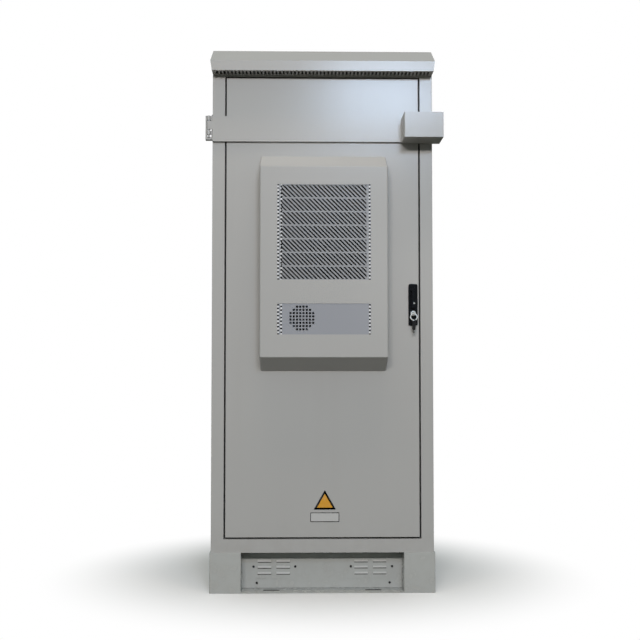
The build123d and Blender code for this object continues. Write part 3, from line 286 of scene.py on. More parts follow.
@dataclass(frozen=True)
class PowderCoat:
    """Satin powder coat on sheet steel, with the dust and wear of a stored cabinet."""

    name: str
    colour: Colour
    roughness: float = 0.20
    grime: float = 1.0
    peel: float = 0.000012
    dust: Colour = (0.28, 0.26, 0.23)
    splash_height: float = 0.30

    def tone(self, graph: Finish) -> tuple[Channel, Channel]:
        """The coat's colour and roughness over the surface.

        Args:
            graph: The material under construction.

        Returns:
            Colour and roughness.
        """
        light = shaded(self.colour, 1.015)
        deep = shaded(self.colour, 0.98)
        cloud = graph.noise(2.6, 1.0)
        fine = (graph.noise(260.0, 1.0) - 0.5) * 0.5
        colour = graph.blend(cloud.ease(0.2, 0.8) * 0.6 + fine + 0.2, deep, light)
        streak = graph.noise(9.0, 3.0, UPRIGHT).ease(0.50, 0.82) * (0.08 * self.grime)
        colour = graph.blend(streak, colour, self.dust)
        low = graph.axis(2).ease(self.splash_height, 0.0) * graph.noise(28.0, 4.0).ease(0.35, 0.75)
        colour = graph.blend(low * (0.34 * self.grime), colour, self.dust)
        specks = graph.noise(210.0, 1.0).ease(0.70, 0.76) * graph.noise(7.0, 2.0).ease(0.5, 0.7)
        colour = graph.blend(specks * (0.35 * self.grime), colour, self.dust)
        smudge = graph.noise(4.0, 2.0, (1.0, 1.0, 0.6)).ease(0.30, 0.80)
        rough = self.roughness + smudge * 0.02 + low * 0.12
        return colour, rough

    def make(self) -> bpy.types.Material:
        """Lays the finish.

        Returns:
            The material.
        """
        graph = Finish(self.name)
        colour, rough = self.tone(graph)
        peel = graph.noise(620.0, 2.0) + graph.noise(170.0, 1.0) * 0.8
        normal = graph.bump(peel, self.peel, 0.55)
        return graph.close(Base_Color=colour, Roughness=rough, Normal=normal)


@dataclass(frozen=True)
class PlinthCoat(PowderCoat):
    """Powder coat of the plinth: painted shade in the anchor slots, dirt and painted shade at the
    web's foot, painted shadow under the louvres and painted highlight on their lips.
    """

    ledge_top: float = 0.0028
    foot_top: float = 0.004
    slot_x: float = 0.184
    slot_y: float = 0.364
    slot_half: Pair = (0.031, 0.0130)
    foot_y: float = 0.324
    foot_reach: float = 0.016
    louvre_x: float = 0.176
    louvre_z: float = 0.0800
    louvre_pitch: float = 0.0217
    louvre_reach: Pair = (0.0095, 0.0585)
    louvre_under: float = 0.0075
    lip_y: float = 0.3285
    # Painted shade in the anchor slots.
    slot_shade: Colour = (0.012, 0.012, 0.012)
    # Dirt and painted crease shade at the web's foot.
    foot_dirt_and_shade: Colour = (0.10, 0.10, 0.09)
    # Painted shadow under the louvres.
    louvre_shadow: Colour = (0.05, 0.05, 0.045)
    # Painted highlight on the louvre lips.
    lip_highlight: Colour = (0.62, 0.62, 0.60)

    def tone(self, graph: Finish) -> tuple[Channel, Channel]:
        """The coat's colour and roughness with the painted shade, the painted highlights and the
        dirt.

        Args:
            graph: The material under construction.

        Returns:
            Colour and roughness.
        """
        colour, rough = super().tone(graph)
        # Painted shade: the anchor slots in the ledge are painted near-black.
        along = (graph.axis(0).size() - self.slot_x).size() < self.slot_half[0]
        across = (graph.axis(1).size() - self.slot_y).size() < self.slot_half[1]
        inside = along * across * (graph.axis(2) < self.ledge_top)
        # Dirt and painted shade in the crease at the web's foot.
        foot = graph.axis(1).size().ease(self.foot_y + self.foot_reach, self.foot_y)
        foot = foot * (graph.axis(2) < self.foot_top)
        colour = graph.blend(foot * 0.45, colour, self.foot_dirt_and_shade)
        offset = (graph.axis(0).size() - self.louvre_x).size()
        beside = (offset < self.louvre_reach[1]) * (1.0 - (offset < self.louvre_reach[0]))
        level = graph.axis(2) - self.louvre_z
        near = (level.size() < self.louvre_pitch * 1.4) * beside * (graph.axis(1) < -self.foot_y)
        # Painted shadow under each louvre hood.
        below = near * ((level + self.louvre_under).repeat(self.louvre_pitch) < 0.19)
        colour = graph.blend(below * 0.85, colour, self.louvre_shadow)
        # Painted highlight on the louvre lips.
        lip = near * (graph.axis(1) < -self.lip_y)
        colour = graph.blend(lip * 0.50, colour, self.lip_highlight)
        # Painted shade laid into the anchor slots.
        return graph.blend(inside, colour, self.slot_shade), rough


@dataclass(frozen=True)
class CoverCoat(PowderCoat):
    """Powder coat of the air conditioner's cover, with painted light on its top slope: paler where
    the slope faces the light from above.
    """

    slope_z: float = 1.5175
    edge: float = 0.001
    # Painted light: how much paler the top slope is made.
    top_light_share: float = 0.24
    pale: Colour = (0.80, 0.80, 0.78)

    def tone(self, graph: Finish) -> tuple[Channel, Channel]:
        """The coat's colour and roughness, with painted light making the top slope paler.

        Args:
            graph: The material under construction.

        Returns:
            Colour and roughness.
        """
        colour, rough = super().tone(graph)
        # Painted light: the top slope is made paler as if lit from above.
        top = graph.axis(2).ease(self.slope_z - self.edge, self.slope_z + self.edge)
        return graph.blend(top * self.top_light_share, colour, self.pale), rough


@dataclass(frozen=True)
class GrilleCoat(PowderCoat):
    """Powder coat on a grille, with columns of small punched squares along its two edges: painted
    shade in the squares and painted highlight on the lands between them.
    """

    columns: tuple[Pair, ...] = ((-0.1587, 0.0), (-0.1478, 0.5), (0.1643, 0.0))
    square: float = 0.0062
    pitch: float = 0.0129
    # Painted shade in the punched squares and painted highlight on the lands between them.
    shade: Colour = (0.008, 0.008, 0.009)
    bright: Colour = (0.60, 0.61, 0.62)

    def make(self) -> bpy.types.Material:
        """Lays the finish, with painted shade in the squares and painted highlight on the lands
        between them.

        Returns:
            The material.
        """
        graph = Finish(self.name)
        colour, rough = self.tone(graph)
        darks: list[Channel] = []
        lights: list[Channel] = []
        for column, phase in self.columns:
            step = (graph.axis(2) + phase * self.pitch).repeat(self.pitch)
            row = (step - 0.5).size() < (self.square / self.pitch / 2)
            across = (graph.axis(0) - column).size() < (self.square / 2)
            darks.append(across * row)
            lights.append(across * (1.0 - row))
        pits, highlit_lands = sum(darks[1:], darks[0]), sum(lights[1:], lights[0])
        # Painted shade in the punched squares and painted highlight on the lands between them.
        colour = graph.blend(highlit_lands, graph.blend(pits, colour, self.shade), self.bright)
        peel = graph.noise(620.0, 2.0) * 0.5
        normal = graph.bump(peel - pits * 6.0, self.peel, 0.6)
        return graph.close(Base_Color=colour, Roughness=rough, Normal=normal)


@dataclass(frozen=True)
class Galvanised:
    """Zinc-dipped sheet with its crystal spangle."""

    name: str
    colour: Colour = (0.52, 0.54, 0.56)
    spangle: float = 90.0

    def make(self) -> bpy.types.Material:
        """Lays the finish.

        Returns:
            The material.
        """
        graph = Finish(self.name)
        inputs = {"Vector": graph.place(), "Scale": self.spangle}
        cells = graph.add("ShaderNodeTexVoronoi", inputs=inputs, output="Color")
        grain = graph.add("ShaderNodeSeparateXYZ", inputs={0: cells})
        dark = shaded(self.colour, 0.82)
        light = shaded(self.colour, 1.12)
        colour = graph.blend(grain, dark, light)
        rough = 0.34 + grain * 0.16 + graph.noise(14.0, 3.0) * 0.08
        normal = graph.bump(grain + graph.noise(300.0, 2.0) * 0.3, 0.00002, 0.4)
        return graph.close(Base_Color=colour, Roughness=rough, Metallic=0.85, Normal=normal)


@dataclass(frozen=True)
class PunchedRail:
    """Zinc-plated rail with the square holes of 19-inch equipment."""

    name: str
    colour: Colour = (0.56, 0.57, 0.58)
    hole: float = 0.0095
    unit: float = 0.04445
    centre: float = 0.23255
    start: float = 0.2275
    end: float = 1.7975
    holes_in_unit: Point = (0.00635, 0.022225, 0.0381)
    # Near-black painted shade that stands for the holes.
    depth: Colour = (0.015, 0.015, 0.016)

    def make(self) -> bpy.types.Material:
        """Lays the finish, with painted shade for three square holes in each unit of height.

        Returns:
            The material.
        """
        graph = Finish(self.name)
        across = (graph.axis(0).size() - self.centre).size() < (self.hole / 2)
        inside = (graph.axis(2) > self.start) * (graph.axis(2) < self.end)
        rows: list[Channel] = []
        for offset in self.holes_in_unit:
            step = (graph.axis(2) - (self.start + offset - self.unit / 2)).repeat(self.unit)
            rows.append((step - 0.5).size() < (self.hole / self.unit / 2))
        mask = sum(rows[1:], rows[0]) * across * inside
        brushed = graph.noise(60.0, 3.0, (1.0, 1.0, 0.04))
        dark = shaded(self.colour, 0.86)
        colour = graph.blend(brushed.ease(0.3, 0.7), dark, self.colour)
        # Painted shade where the square holes are.
        colour = graph.blend(mask, colour, self.depth)
        metal = 0.85 * (1.0 - mask)
        rough = 0.30 + brushed * 0.14 + mask * 0.3
        normal = graph.bump(brushed * 0.2 - mask, 0.0002, 0.5)
        return graph.close(Base_Color=colour, Roughness=rough, Metallic=metal, Normal=normal)


@dataclass(frozen=True)
class PlatedSteel:
    """Bright plated steel with fine turning marks and finger marks."""

    name: str
    colour: Colour = (0.66, 0.66, 0.66)
    roughness: float = 0.20
    metal: float = 0.95

    def make(self) -> bpy.types.Material:
        """Lays the finish.

        Returns:
            The material.
        """
        graph = Finish(self.name)
        marks = graph.noise(400.0, 3.0, (1.0, 0.2, 1.0))
        dull = graph.noise(60.0, 3.0).ease(0.4, 0.7)
        dark = shaded(self.colour, 0.80)
        colour = graph.blend(dull * 0.6, self.colour, dark)
        rough = self.roughness + marks * 0.12 + dull * 0.10
        normal = graph.bump(marks, 0.00003, 0.35)
        return graph.close(Base_Color=colour, Roughness=rough, Metallic=self.metal, Normal=normal)


@dataclass(frozen=True)
class MouldedBlack:
    """Black moulded or cast surface with a fine leather-like grain."""

    name: str
    colour: Colour = (0.018, 0.018, 0.020)
    roughness: float = 0.42
    grain: float = 700.0
    gloss: float = 0.5

    def make(self) -> bpy.types.Material:
        """Lays the finish.

        Returns:
            The material.
        """
        graph = Finish(self.name)
        wear = graph.noise(45.0, 4.0).ease(0.50, 0.78)
        worn = shaded(self.colour, 2.6)
        colour = graph.blend(wear * 0.5, self.colour, worn)
        inputs = {"Vector": graph.place(), "Scale": self.grain}
        cells = graph.add("ShaderNodeTexVoronoi", inputs=inputs)
        rough = self.roughness + graph.noise(90.0, 2.0) * 0.12
        normal = graph.bump(cells, 0.00010, 0.35)
        return graph.close(Base_Color=colour, Roughness=rough, Normal=normal,
                           Specular_IOR_Level=self.gloss)


@dataclass(frozen=True)
class SealRubber:
    """Foamed rubber of the door seal."""

    name: str
    colour: Colour = (0.020, 0.020, 0.021)
    dust: Colour = (0.07, 0.068, 0.064)

    def make(self) -> bpy.types.Material:
        """Lays the finish.

        Returns:
            The material.
        """
        graph = Finish(self.name)
        pores = graph.noise(900.0, 3.0)
        dusty = graph.noise(30.0, 3.0).ease(0.5, 0.8)
        colour = graph.blend(dusty * 0.4, self.colour, self.dust)
        normal = graph.bump(pores, 0.00015, 0.6)
        return graph.close(Base_Color=colour, Roughness=0.78 + pores * 0.1, Normal=normal)


@dataclass(frozen=True)
class FinStock:
    """Thin upright aluminium fins crossed by tube rows, with painted shade: the fins near-black and
    the gaps between them darker still.
    """

    name: str
    # Near-black: painted shade of the coil behind the grille.
    colour: Colour = (0.036, 0.040, 0.045)
    fin_pitch: float = 0.0022
    tube_pitch: float = 0.0418
    tube_start: float = 1.116
    tube: Colour = (0.22, 0.19, 0.16)

    def make(self) -> bpy.types.Material:
        """Lays the finish.

        Returns:
            The material.
        """
        graph = Finish(self.name)
        fin = (graph.axis(0).repeat(self.fin_pitch) - 0.5).size()
        gap = fin.ease(0.22, 0.42)
        tube = ((graph.axis(2) - self.tube_start).repeat(self.tube_pitch) - 0.5).size()
        tube = tube.ease(0.20, 0.10)
        bent = graph.noise(24.0, 3.0).ease(0.45, 0.7)
        dark = shaded(self.colour, 0.22)
        # Painted shade in the gaps between the fins.
        colour = graph.blend(gap * (1.0 - bent * 0.4), self.colour, dark)
        colour = graph.blend(tube * 0.20, colour, self.tube)
        normal = graph.bump(1.0 - gap, 0.0008, 0.7)
        rough = 0.38 + bent * 0.2
        return graph.close(Base_Color=colour, Roughness=rough, Metallic=0.6, Normal=normal)


@dataclass(frozen=True)
class BlackEnamel:
    """Thick black enamel of the compressor, with soft runs and a little dust."""

    name: str
    colour: Colour = (0.015, 0.015, 0.016)
    dust: Colour = (0.08, 0.075, 0.07)

    def make(self) -> bpy.types.Material:
        """Lays the finish.

        Returns:
            The material.
        """
        graph = Finish(self.name)
        runs = graph.noise(20.0, 3.0, (1.0, 1.0, 0.3))
        dusty = graph.noise(60.0, 4.0).ease(0.5, 0.8)
        colour = graph.blend(dusty * 0.3, self.colour, self.dust)
        normal = graph.bump(runs, 0.0006, 0.3)
        return graph.close(Base_Color=colour, Roughness=0.22 + dusty * 0.3, Normal=normal)


@dataclass(frozen=True)
class SpareKeyFinish:
    """Black moulded bow above a plated blade, parted at one height."""

    name: str
    part_height: float = 0.9397
    bow: Colour = (0.018, 0.018, 0.020)
    blade: Colour = (0.62, 0.61, 0.58)

    def make(self) -> bpy.types.Material:
        """Lays the finish.

        Returns:
            The material.
        """
        graph = Finish(self.name)
        plated = graph.axis(2) < self.part_height
        grain = graph.noise(500.0, 2.0)
        colour = graph.blend(plated, self.bow, self.blade)
        rough = 0.42 - plated * 0.20 + grain * 0.08
        normal = graph.bump(grain, 0.00005, 0.4)
        metal = plated * 0.95
        return graph.close(Base_Color=colour, Roughness=rough, Metallic=metal, Normal=normal)


@dataclass(frozen=True)
class SheetFilm:
    """A printed plastic sheet: one flat colour field, faded and scuffed a little."""

    name: str
    colour: Colour
    roughness: float = 0.35

    def make(self) -> bpy.types.Material:
        """Lays the finish.

        Returns:
            The material.
        """
        graph = Finish(self.name)
        faded = tuple(part + (0.5 - part) * 0.10 for part in self.colour)
        scuff = graph.noise(70.0, 4.0).ease(0.45, 0.75)
        colour = graph.blend(scuff * 0.7, self.colour, faded)
        normal = graph.bump(graph.noise(900.0, 1.0), 0.00001, 0.4)
        return graph.close(Base_Color=colour, Roughness=self.roughness + scuff * 0.2, Normal=normal)


FINISHES: Sequence[Any] = (
    PowderCoat("body_coat", BODY_GREY),
    # The plinth, cover and box coats differ from the body's grey in brightness: painted light and
    # shade, each set to how bright its piece is lit.
    PlinthCoat("plinth_coat", (0.405, 0.415, 0.400), grime=0.6),
    CoverCoat("cover_coat", (0.378, 0.376, 0.366), grime=0.7),
    PowderCoat("bar_coat", (0.382, 0.380, 0.370), grime=0.8),
    PowderCoat("box_coat", (0.355, 0.350, 0.334), grime=0.8),
    GrilleCoat("condenser_grille_coat", (0.285, 0.293, 0.306), grime=0.8),
    GrilleCoat("fan_grille_coat", (0.285, 0.295, 0.320), grime=0.8),
    Galvanised("galvanised_sheet"),
    PunchedRail("punched_rail"),
    Galvanised("zinc_plate", (0.60, 0.60, 0.60), 400.0),
    PlatedSteel("plated_steel"),
    MouldedBlack("dark_screw", (0.012, 0.012, 0.013), 0.45, 900.0),
    PlatedSteel("key_metal", (0.90, 0.90, 0.88), 0.26, 0.60),
    MouldedBlack("handle_black", (0.004, 0.004, 0.005), 0.48, 700.0, 0.2),
    MouldedBlack("plastic_black", (0.022, 0.022, 0.024), 0.50, 500.0),
    SealRubber("seal_rubber"),
    FinStock("fin_stock"),
    BlackEnamel("compressor_enamel"),
    SpareKeyFinish("spare_key_finish"),
    SheetFilm("amber_film", (0.60, 0.29, 0.030)),
    SheetFilm("black_film", (0.014, 0.014, 0.015)),
    SheetFilm("pale_film", (0.45, 0.45, 0.44)),
)


@dataclass
class Paintbox:
    """Every finish of the cabinet, made once and shared."""

    made: dict[str, bpy.types.Material] = field(default_factory=dict)

    def mix(self) -> None:
        """Makes every material."""
        for finish in FINISHES:
            self.made[finish.name] = finish.make()
            log.info("finish %s", finish.name)

    def __getitem__(self, name: str) -> bpy.types.Material:
        """The material with that name."""
        return self.made[name]


class Bench:
    """Modelling steps on one piece at a time, as by hand."""

    @staticmethod
    def clear() -> None:
        """Leaves edit mode and deselects everything."""
        if bpy.context.mode != "OBJECT":
            bpy.ops.object.mode_set(mode="OBJECT")
        bpy.ops.object.select_all(action="DESELECT")

    @staticmethod
    def disc(centre: Point, radius: float, depth: float, sides: int) -> bpy.types.Object:
        """Makes a piece from a short prism that looks forward.

        Args:
            centre: The prism's centre.
            radius: Its corner radius.
            depth: Its length from front to back.
            sides: How many corners it has.

        Returns:
            The new object.
        """
        Bench.clear()
        forward = (math.radians(90.0), 0.0, 0.0)
        bpy.ops.mesh.primitive_cylinder_add(vertices=sides, radius=radius, depth=depth,
                                            location=centre, rotation=forward)
        piece = bpy.context.active_object
        Bench.settle(piece)
        return piece

    @staticmethod
    def block(low: Point, high: Point) -> bpy.types.Object:
        """Makes a piece from a block between two corners.

        Args:
            low: The lowest corner.
            high: The highest corner.

        Returns:
            The new object.
        """
        Bench.clear()
        centre = [(a + b) / 2 for a, b in zip(low, high)]
        bpy.ops.mesh.primitive_cube_add(size=1.0, location=centre)
        piece = bpy.context.active_object
        piece.scale = [b - a for a, b in zip(low, high)]
        Bench.settle(piece)
        return piece

    @staticmethod
    def take(piece: bpy.types.Object) -> None:
        """Makes a piece the active one and the only one selected.

        Args:
            piece: The piece.
        """
        Bench.clear()
        piece.select_set(True)
        bpy.context.view_layer.objects.active = piece

    @staticmethod
    def settle(piece: bpy.types.Object) -> None:
        """Takes a piece and puts its place into its mesh."""
        Bench.take(piece)
        bpy.ops.object.transform_apply(location=True, rotation=True, scale=True)

    @staticmethod
    def pick(piece: bpy.types.Object, kind: Element, test: Callable[[Any], bool]) -> None:
        """Selects the parts of a mesh that pass a test and goes to edit mode.

        Args:
            piece: The piece.
            kind: Whether faces or edges are selected.
            test: Tells whether a face or an edge is wanted.
        """
        bpy.context.view_layer.objects.active = piece
        bpy.ops.object.mode_set(mode="EDIT")
        bpy.ops.mesh.select_mode(type=kind.value)
        bpy.ops.mesh.select_all(action="DESELECT")
        bpy.ops.object.mode_set(mode="OBJECT")
        for part in piece.data.polygons if kind is Element.FACE else piece.data.edges:
            part.select = test(part)
        bpy.ops.object.mode_set(mode="EDIT")

    @staticmethod
    def pick_front(piece: bpy.types.Object) -> None:
        """Selects the faces that look forward and goes to edit mode."""
        Bench.pick(piece, Element.FACE, lambda face: face.normal.y < -0.9)

    @staticmethod
    def object_mode() -> None:
        """Goes back to object mode."""
        bpy.ops.object.mode_set(mode="OBJECT")

    @staticmethod
    def modify(piece: bpy.types.Object, kind: str, **settings: Any) -> None:
        """Adds one modifier and applies it.

        Args:
            piece: The piece.
            kind: The modifier's type.
            **settings: Its properties.
        """
        Bench.take(piece)
        bpy.ops.object.modifier_add(type=kind)
        step = piece.modifiers[-1]
        for name, value in settings.items():
            setattr(step, name, value)
        bpy.ops.object.modifier_apply(modifier=step.name)

    @staticmethod
    def carve(piece: bpy.types.Object, tool: bpy.types.Object) -> None:
        """Cuts the tool out of the piece and removes the tool."""
        Bench.modify(piece, "BOOLEAN", operation="DIFFERENCE", object=tool, solver="EXACT")
        bpy.data.objects.remove(tool, do_unlink=True)

    @staticmethod
    def soften(piece: bpy.types.Object, width: float, segments: int = 2) -> None:
        """Rounds every sharp edge with a bevel of some width in metres."""
        Bench.modify(piece, "BEVEL", width=width, segments=segments, limit_method="ANGLE",
                     angle_limit=SHARP_ANGLE)

    @staticmethod
    def mount(piece: bpy.types.Object, name: str, body: Body, slot: Slot,
              *materials: bpy.types.Material) -> None:
        """Names a finished piece, dresses it and puts it on its body.

        Args:
            piece: The finished piece.
            name: Its name.
            body: The body it moves with.
            slot: The record slot its finish stands for; not used.
            *materials: Materials to add to those it has.
        """
        Bench.settle(piece)
        bpy.ops.object.shade_smooth_by_angle(angle=SMOOTH_ANGLE)
        piece.name = name
        piece.data.name = name
        for material in materials:
            piece.data.materials.append(material)
        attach(piece, body.value)
        log.info("piece %s on %s", name, body.value)


NODES_BY_FINISH: Mapping[str, tuple[str, ...]] = {
    "body_coat": ("front_post_left", "front_post_right", "frame_header", "frame_sill",
                  "side_panel_left", "side_panel_right", "rear_panel", "canopy_shell",
                  "canopy_vent_strip_front", "canopy_vent_strip_rear", "bar_hinge_bracket",
                  "padlock_staple", "door_panel"),
    "bar_coat": ("security_bar",),
    "box_coat": ("lock_box",),
    "plinth_coat": ("plinth_side_left", "plinth_side_right", "plinth_front_panel",
                    "plinth_rear_panel", "vent_plate_left", "vent_plate_right"),
    "cover_coat": ("ac_cover",),
    "condenser_grille_coat": ("condenser_grille",),
    "fan_grille_coat": ("fan_grille",),
    "galvanised_sheet": ("floor_plate", "gland_plate", "top_plate", "canopy_spacers",
                         "hinge_side_stiffener", "lock_side_stiffener", "ac_chassis",
                         "ac_inner_cover", "rail_supports", "lock_gearbox"),
    "punched_rail": ("rack_rail_front_left", "rack_rail_front_right", "rack_rail_rear_left",
                     "rack_rail_rear_right"),
    "zinc_plate": ("upper_lock_rod", "lower_lock_rod", "lock_pinion", "hinge_frame_leaves",
                   "hinge_door_leaves", "hinge_pins"),
    "plated_steel": ("plinth_bolts", "lock_plug"),
    "handle_black": ("handle_base", "handle_lever", "handle_spindle"),
    "plastic_black": ("fan_housing", "condenser_fan", "evaporator_fan", "rod_guides"),
    "seal_rubber": ("door_gasket",),
    "fin_stock": ("condenser_coil", "evaporator_coil"),
    "compressor_enamel": ("compressor",),
    "key_metal": ("key", "key_ring"),
    "spare_key_finish": ("spare_key",),
}


@dataclass
class BodyFinishes:
    """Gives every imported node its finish."""

    paints: Paintbox

    def dress(self, nodes: Mapping[str, bpy.types.Object]) -> None:
        """Puts the finishes on the nodes.

        Args:
            nodes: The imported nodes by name.
        """
        for finish, names in NODES_BY_FINISH.items():
            for name in names:
                piece = nodes[name]
                piece.data.materials.clear()
                piece.data.materials.append(self.paints[finish])
            log.info("dressed %s with %s", ", ".join(names), finish)


@dataclass
class Screws:
    """Pan-head screws with a cross recess, modelled once and copied."""

    paints: Paintbox
    pattern: Optional[bpy.types.Object] = None
    head_radius: float = 0.0042
    head_depth: float = 0.0024
    recess: float = 0.0052
    recess_width: float = 0.0011
    sides: int = 20
    vent_columns: tuple[float, ...] = (-0.250, -0.098, 0.105, 0.255)
    vent_place: Pair = (-0.3265, 0.0805)
    web_columns: tuple[float, ...] = (-0.238, 0.2465)
    web_place: Pair = (-0.325, 0.0215)
    staple_place: Pair = (0.389, -0.403)
    staple_rows: tuple[float, ...] = (1.6425, 1.6895)
    bracket_x: float = -0.403
    bracket_columns: tuple[float, ...] = (-0.372, -0.344)
    bracket_rows: tuple[float, ...] = (1.652, 1.704)
    cover_inset: float = 0.016
    rear_inset: Pair = (0.018, 0.05)
    rear_rows: int = 5

    def model(self) -> bpy.types.Object:
        """Models one screw head at the origin, looking forward.

        Returns:
            The head, not yet on any body.
        """
        depth = self.head_depth
        head = Bench.disc((0.0, -depth / 2, 0.0), self.head_radius, depth, self.sides)
        Bench.pick_front(head)
        bpy.ops.mesh.inset(thickness=self.head_radius * 0.30, depth=depth * 0.28)
        bpy.ops.mesh.inset(thickness=self.head_radius * 0.22, depth=depth * 0.06)
        Bench.object_mode()
        for size in ((self.recess, self.recess_width), (self.recess_width, self.recess)):
            low = (-size[0] / 2, -depth * 2.0, -size[1] / 2)
            high = (size[0] / 2, -depth * 0.62, size[1] / 2)
            Bench.carve(head, Bench.block(low, high))
        return head

    def place(self, name: str, body: Body, where: Point, facing: Facing = Facing.FRONT,
              turn: float = 0.4, finish: str = "plated_steel") -> None:
        """Puts one screw head on a face.

        Args:
            name: The piece's name.
            body: The body it moves with.
            where: The middle of the head's underside.
            facing: Which way the head looks.
            turn: How far the screw is turned, in radians.
            finish: The name of its finish.
        """
        head = self.pattern.copy()
        head.data = self.pattern.data.copy()
        bpy.context.scene.collection.objects.link(head)
        look = Matrix.Rotation(math.radians(facing.value), 4, "Z")
        spin = Matrix.Rotation(turn, 4, "Y")
        head.data.transform(Matrix.Translation(Vector(where)) @ look @ spin)
        Bench.mount(head, name, body, Slot.HARDWARE, self.paints[finish])

    def build(self) -> None:
        """Places the screws of plinth, staple, bracket, inner cover and back."""
        self.pattern = self.model()
        body = Body.ENCLOSURE
        for x in self.vent_columns:
            side = "left" if x < 0 else "right"
            place = "outer" if abs(x) > 0.2 else "inner"
            where = (x, *self.vent_place)
            self.place(f"vent_screw_{side}_{place}", body, where, turn=x * 9, finish="dark_screw")
        for index, x in enumerate(self.web_columns):
            where = (x, *self.web_place)
            self.place(f"plinth_screw_{index + 1}", body, where, turn=0.9, finish="dark_screw")
        for index, z in enumerate(self.staple_rows):
            self.place(f"staple_screw_{index + 1}", body, (*self.staple_place, z), turn=0.2 + index)
        spots = [(y, z) for y in self.bracket_columns for z in self.bracket_rows]
        for index, spot in enumerate(spots):
            where = (self.bracket_x, *spot)
            name = f"bracket_screw_{index + 1}"
            self.place(name, body, where, Facing.LEFT, index * 0.7, "body_coat")
        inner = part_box("ac_inner_cover")
        for index, (x, z) in enumerate(self.corners(inner, self.cover_inset)):
            where = (x, inner[1].y, z)
            self.place(f"inner_cover_screw_{index + 1}", Body.DOOR, where, Facing.BACK, index * 0.5)
        low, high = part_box("rear_panel")
        side, end = self.rear_inset
        for column, x in enumerate((low.x + side, high.x - side)):
            for row in range(self.rear_rows):
                z = low.z + end + row * (high.z - low.z - 2 * end) / (self.rear_rows - 1)
                name = f"rear_screw_{column + 1}_{row + 1}"
                self.place(name, body, (x, high.y, z), Facing.BACK, column + row * 0.8)
        bpy.data.objects.remove(self.pattern, do_unlink=True)

    @staticmethod
    def corners(box: Sequence[Vector], inset: float) -> list[Pair]:
        """The four corners of a node's back, drawn in a little.

        Args:
            box: The node's lowest and highest corner.
            inset: How far in from each edge.

        Returns:
            The corners as X and Z.
        """
        low, high = box
        rows = (low.z + inset, high.z - inset)
        return [(x, z) for x in (low.x + inset, high.x - inset) for z in rows]


@dataclass
class PlinthRim:
    """The folded strip that closes the space between the front web's rim and the sill."""

    paints: Paintbox
    face_y: float = -0.324
    sheet: float = 0.002
    foot: float = 0.012
    top: float = 0.1428
    play: float = 0.0005

    def build(self) -> None:
        """Models the strip: an upright and a foot folded back over the web's rim."""
        low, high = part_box("plinth_front_panel")
        fold_z = high.z + self.sheet
        strip = Bench.block((low.x + self.play, self.face_y, high.z),
                            (high.x - self.play, self.face_y + self.sheet, self.top))
        bpy.ops.object.mode_set(mode="EDIT")
        bpy.ops.mesh.select_all(action="SELECT")
        bpy.ops.mesh.bisect(plane_co=(0.0, 0.0, fold_z), plane_no=(0.0, 0.0, 1.0))
        Bench.object_mode()
        Bench.pick(strip, Element.FACE,
                   lambda face: face.normal.y > 0.9 and face.center.z < fold_z)
        bpy.ops.mesh.extrude_region_move(TRANSFORM_OT_translate={"value": (0.0, self.foot, 0.0)})
        Bench.object_mode()
        Bench.soften(strip, 0.0003)
        coat = self.paints["plinth_coat"]
        Bench.mount(strip, "plinth_rim_strip", Body.ENCLOSURE, Slot.PAINT, coat)


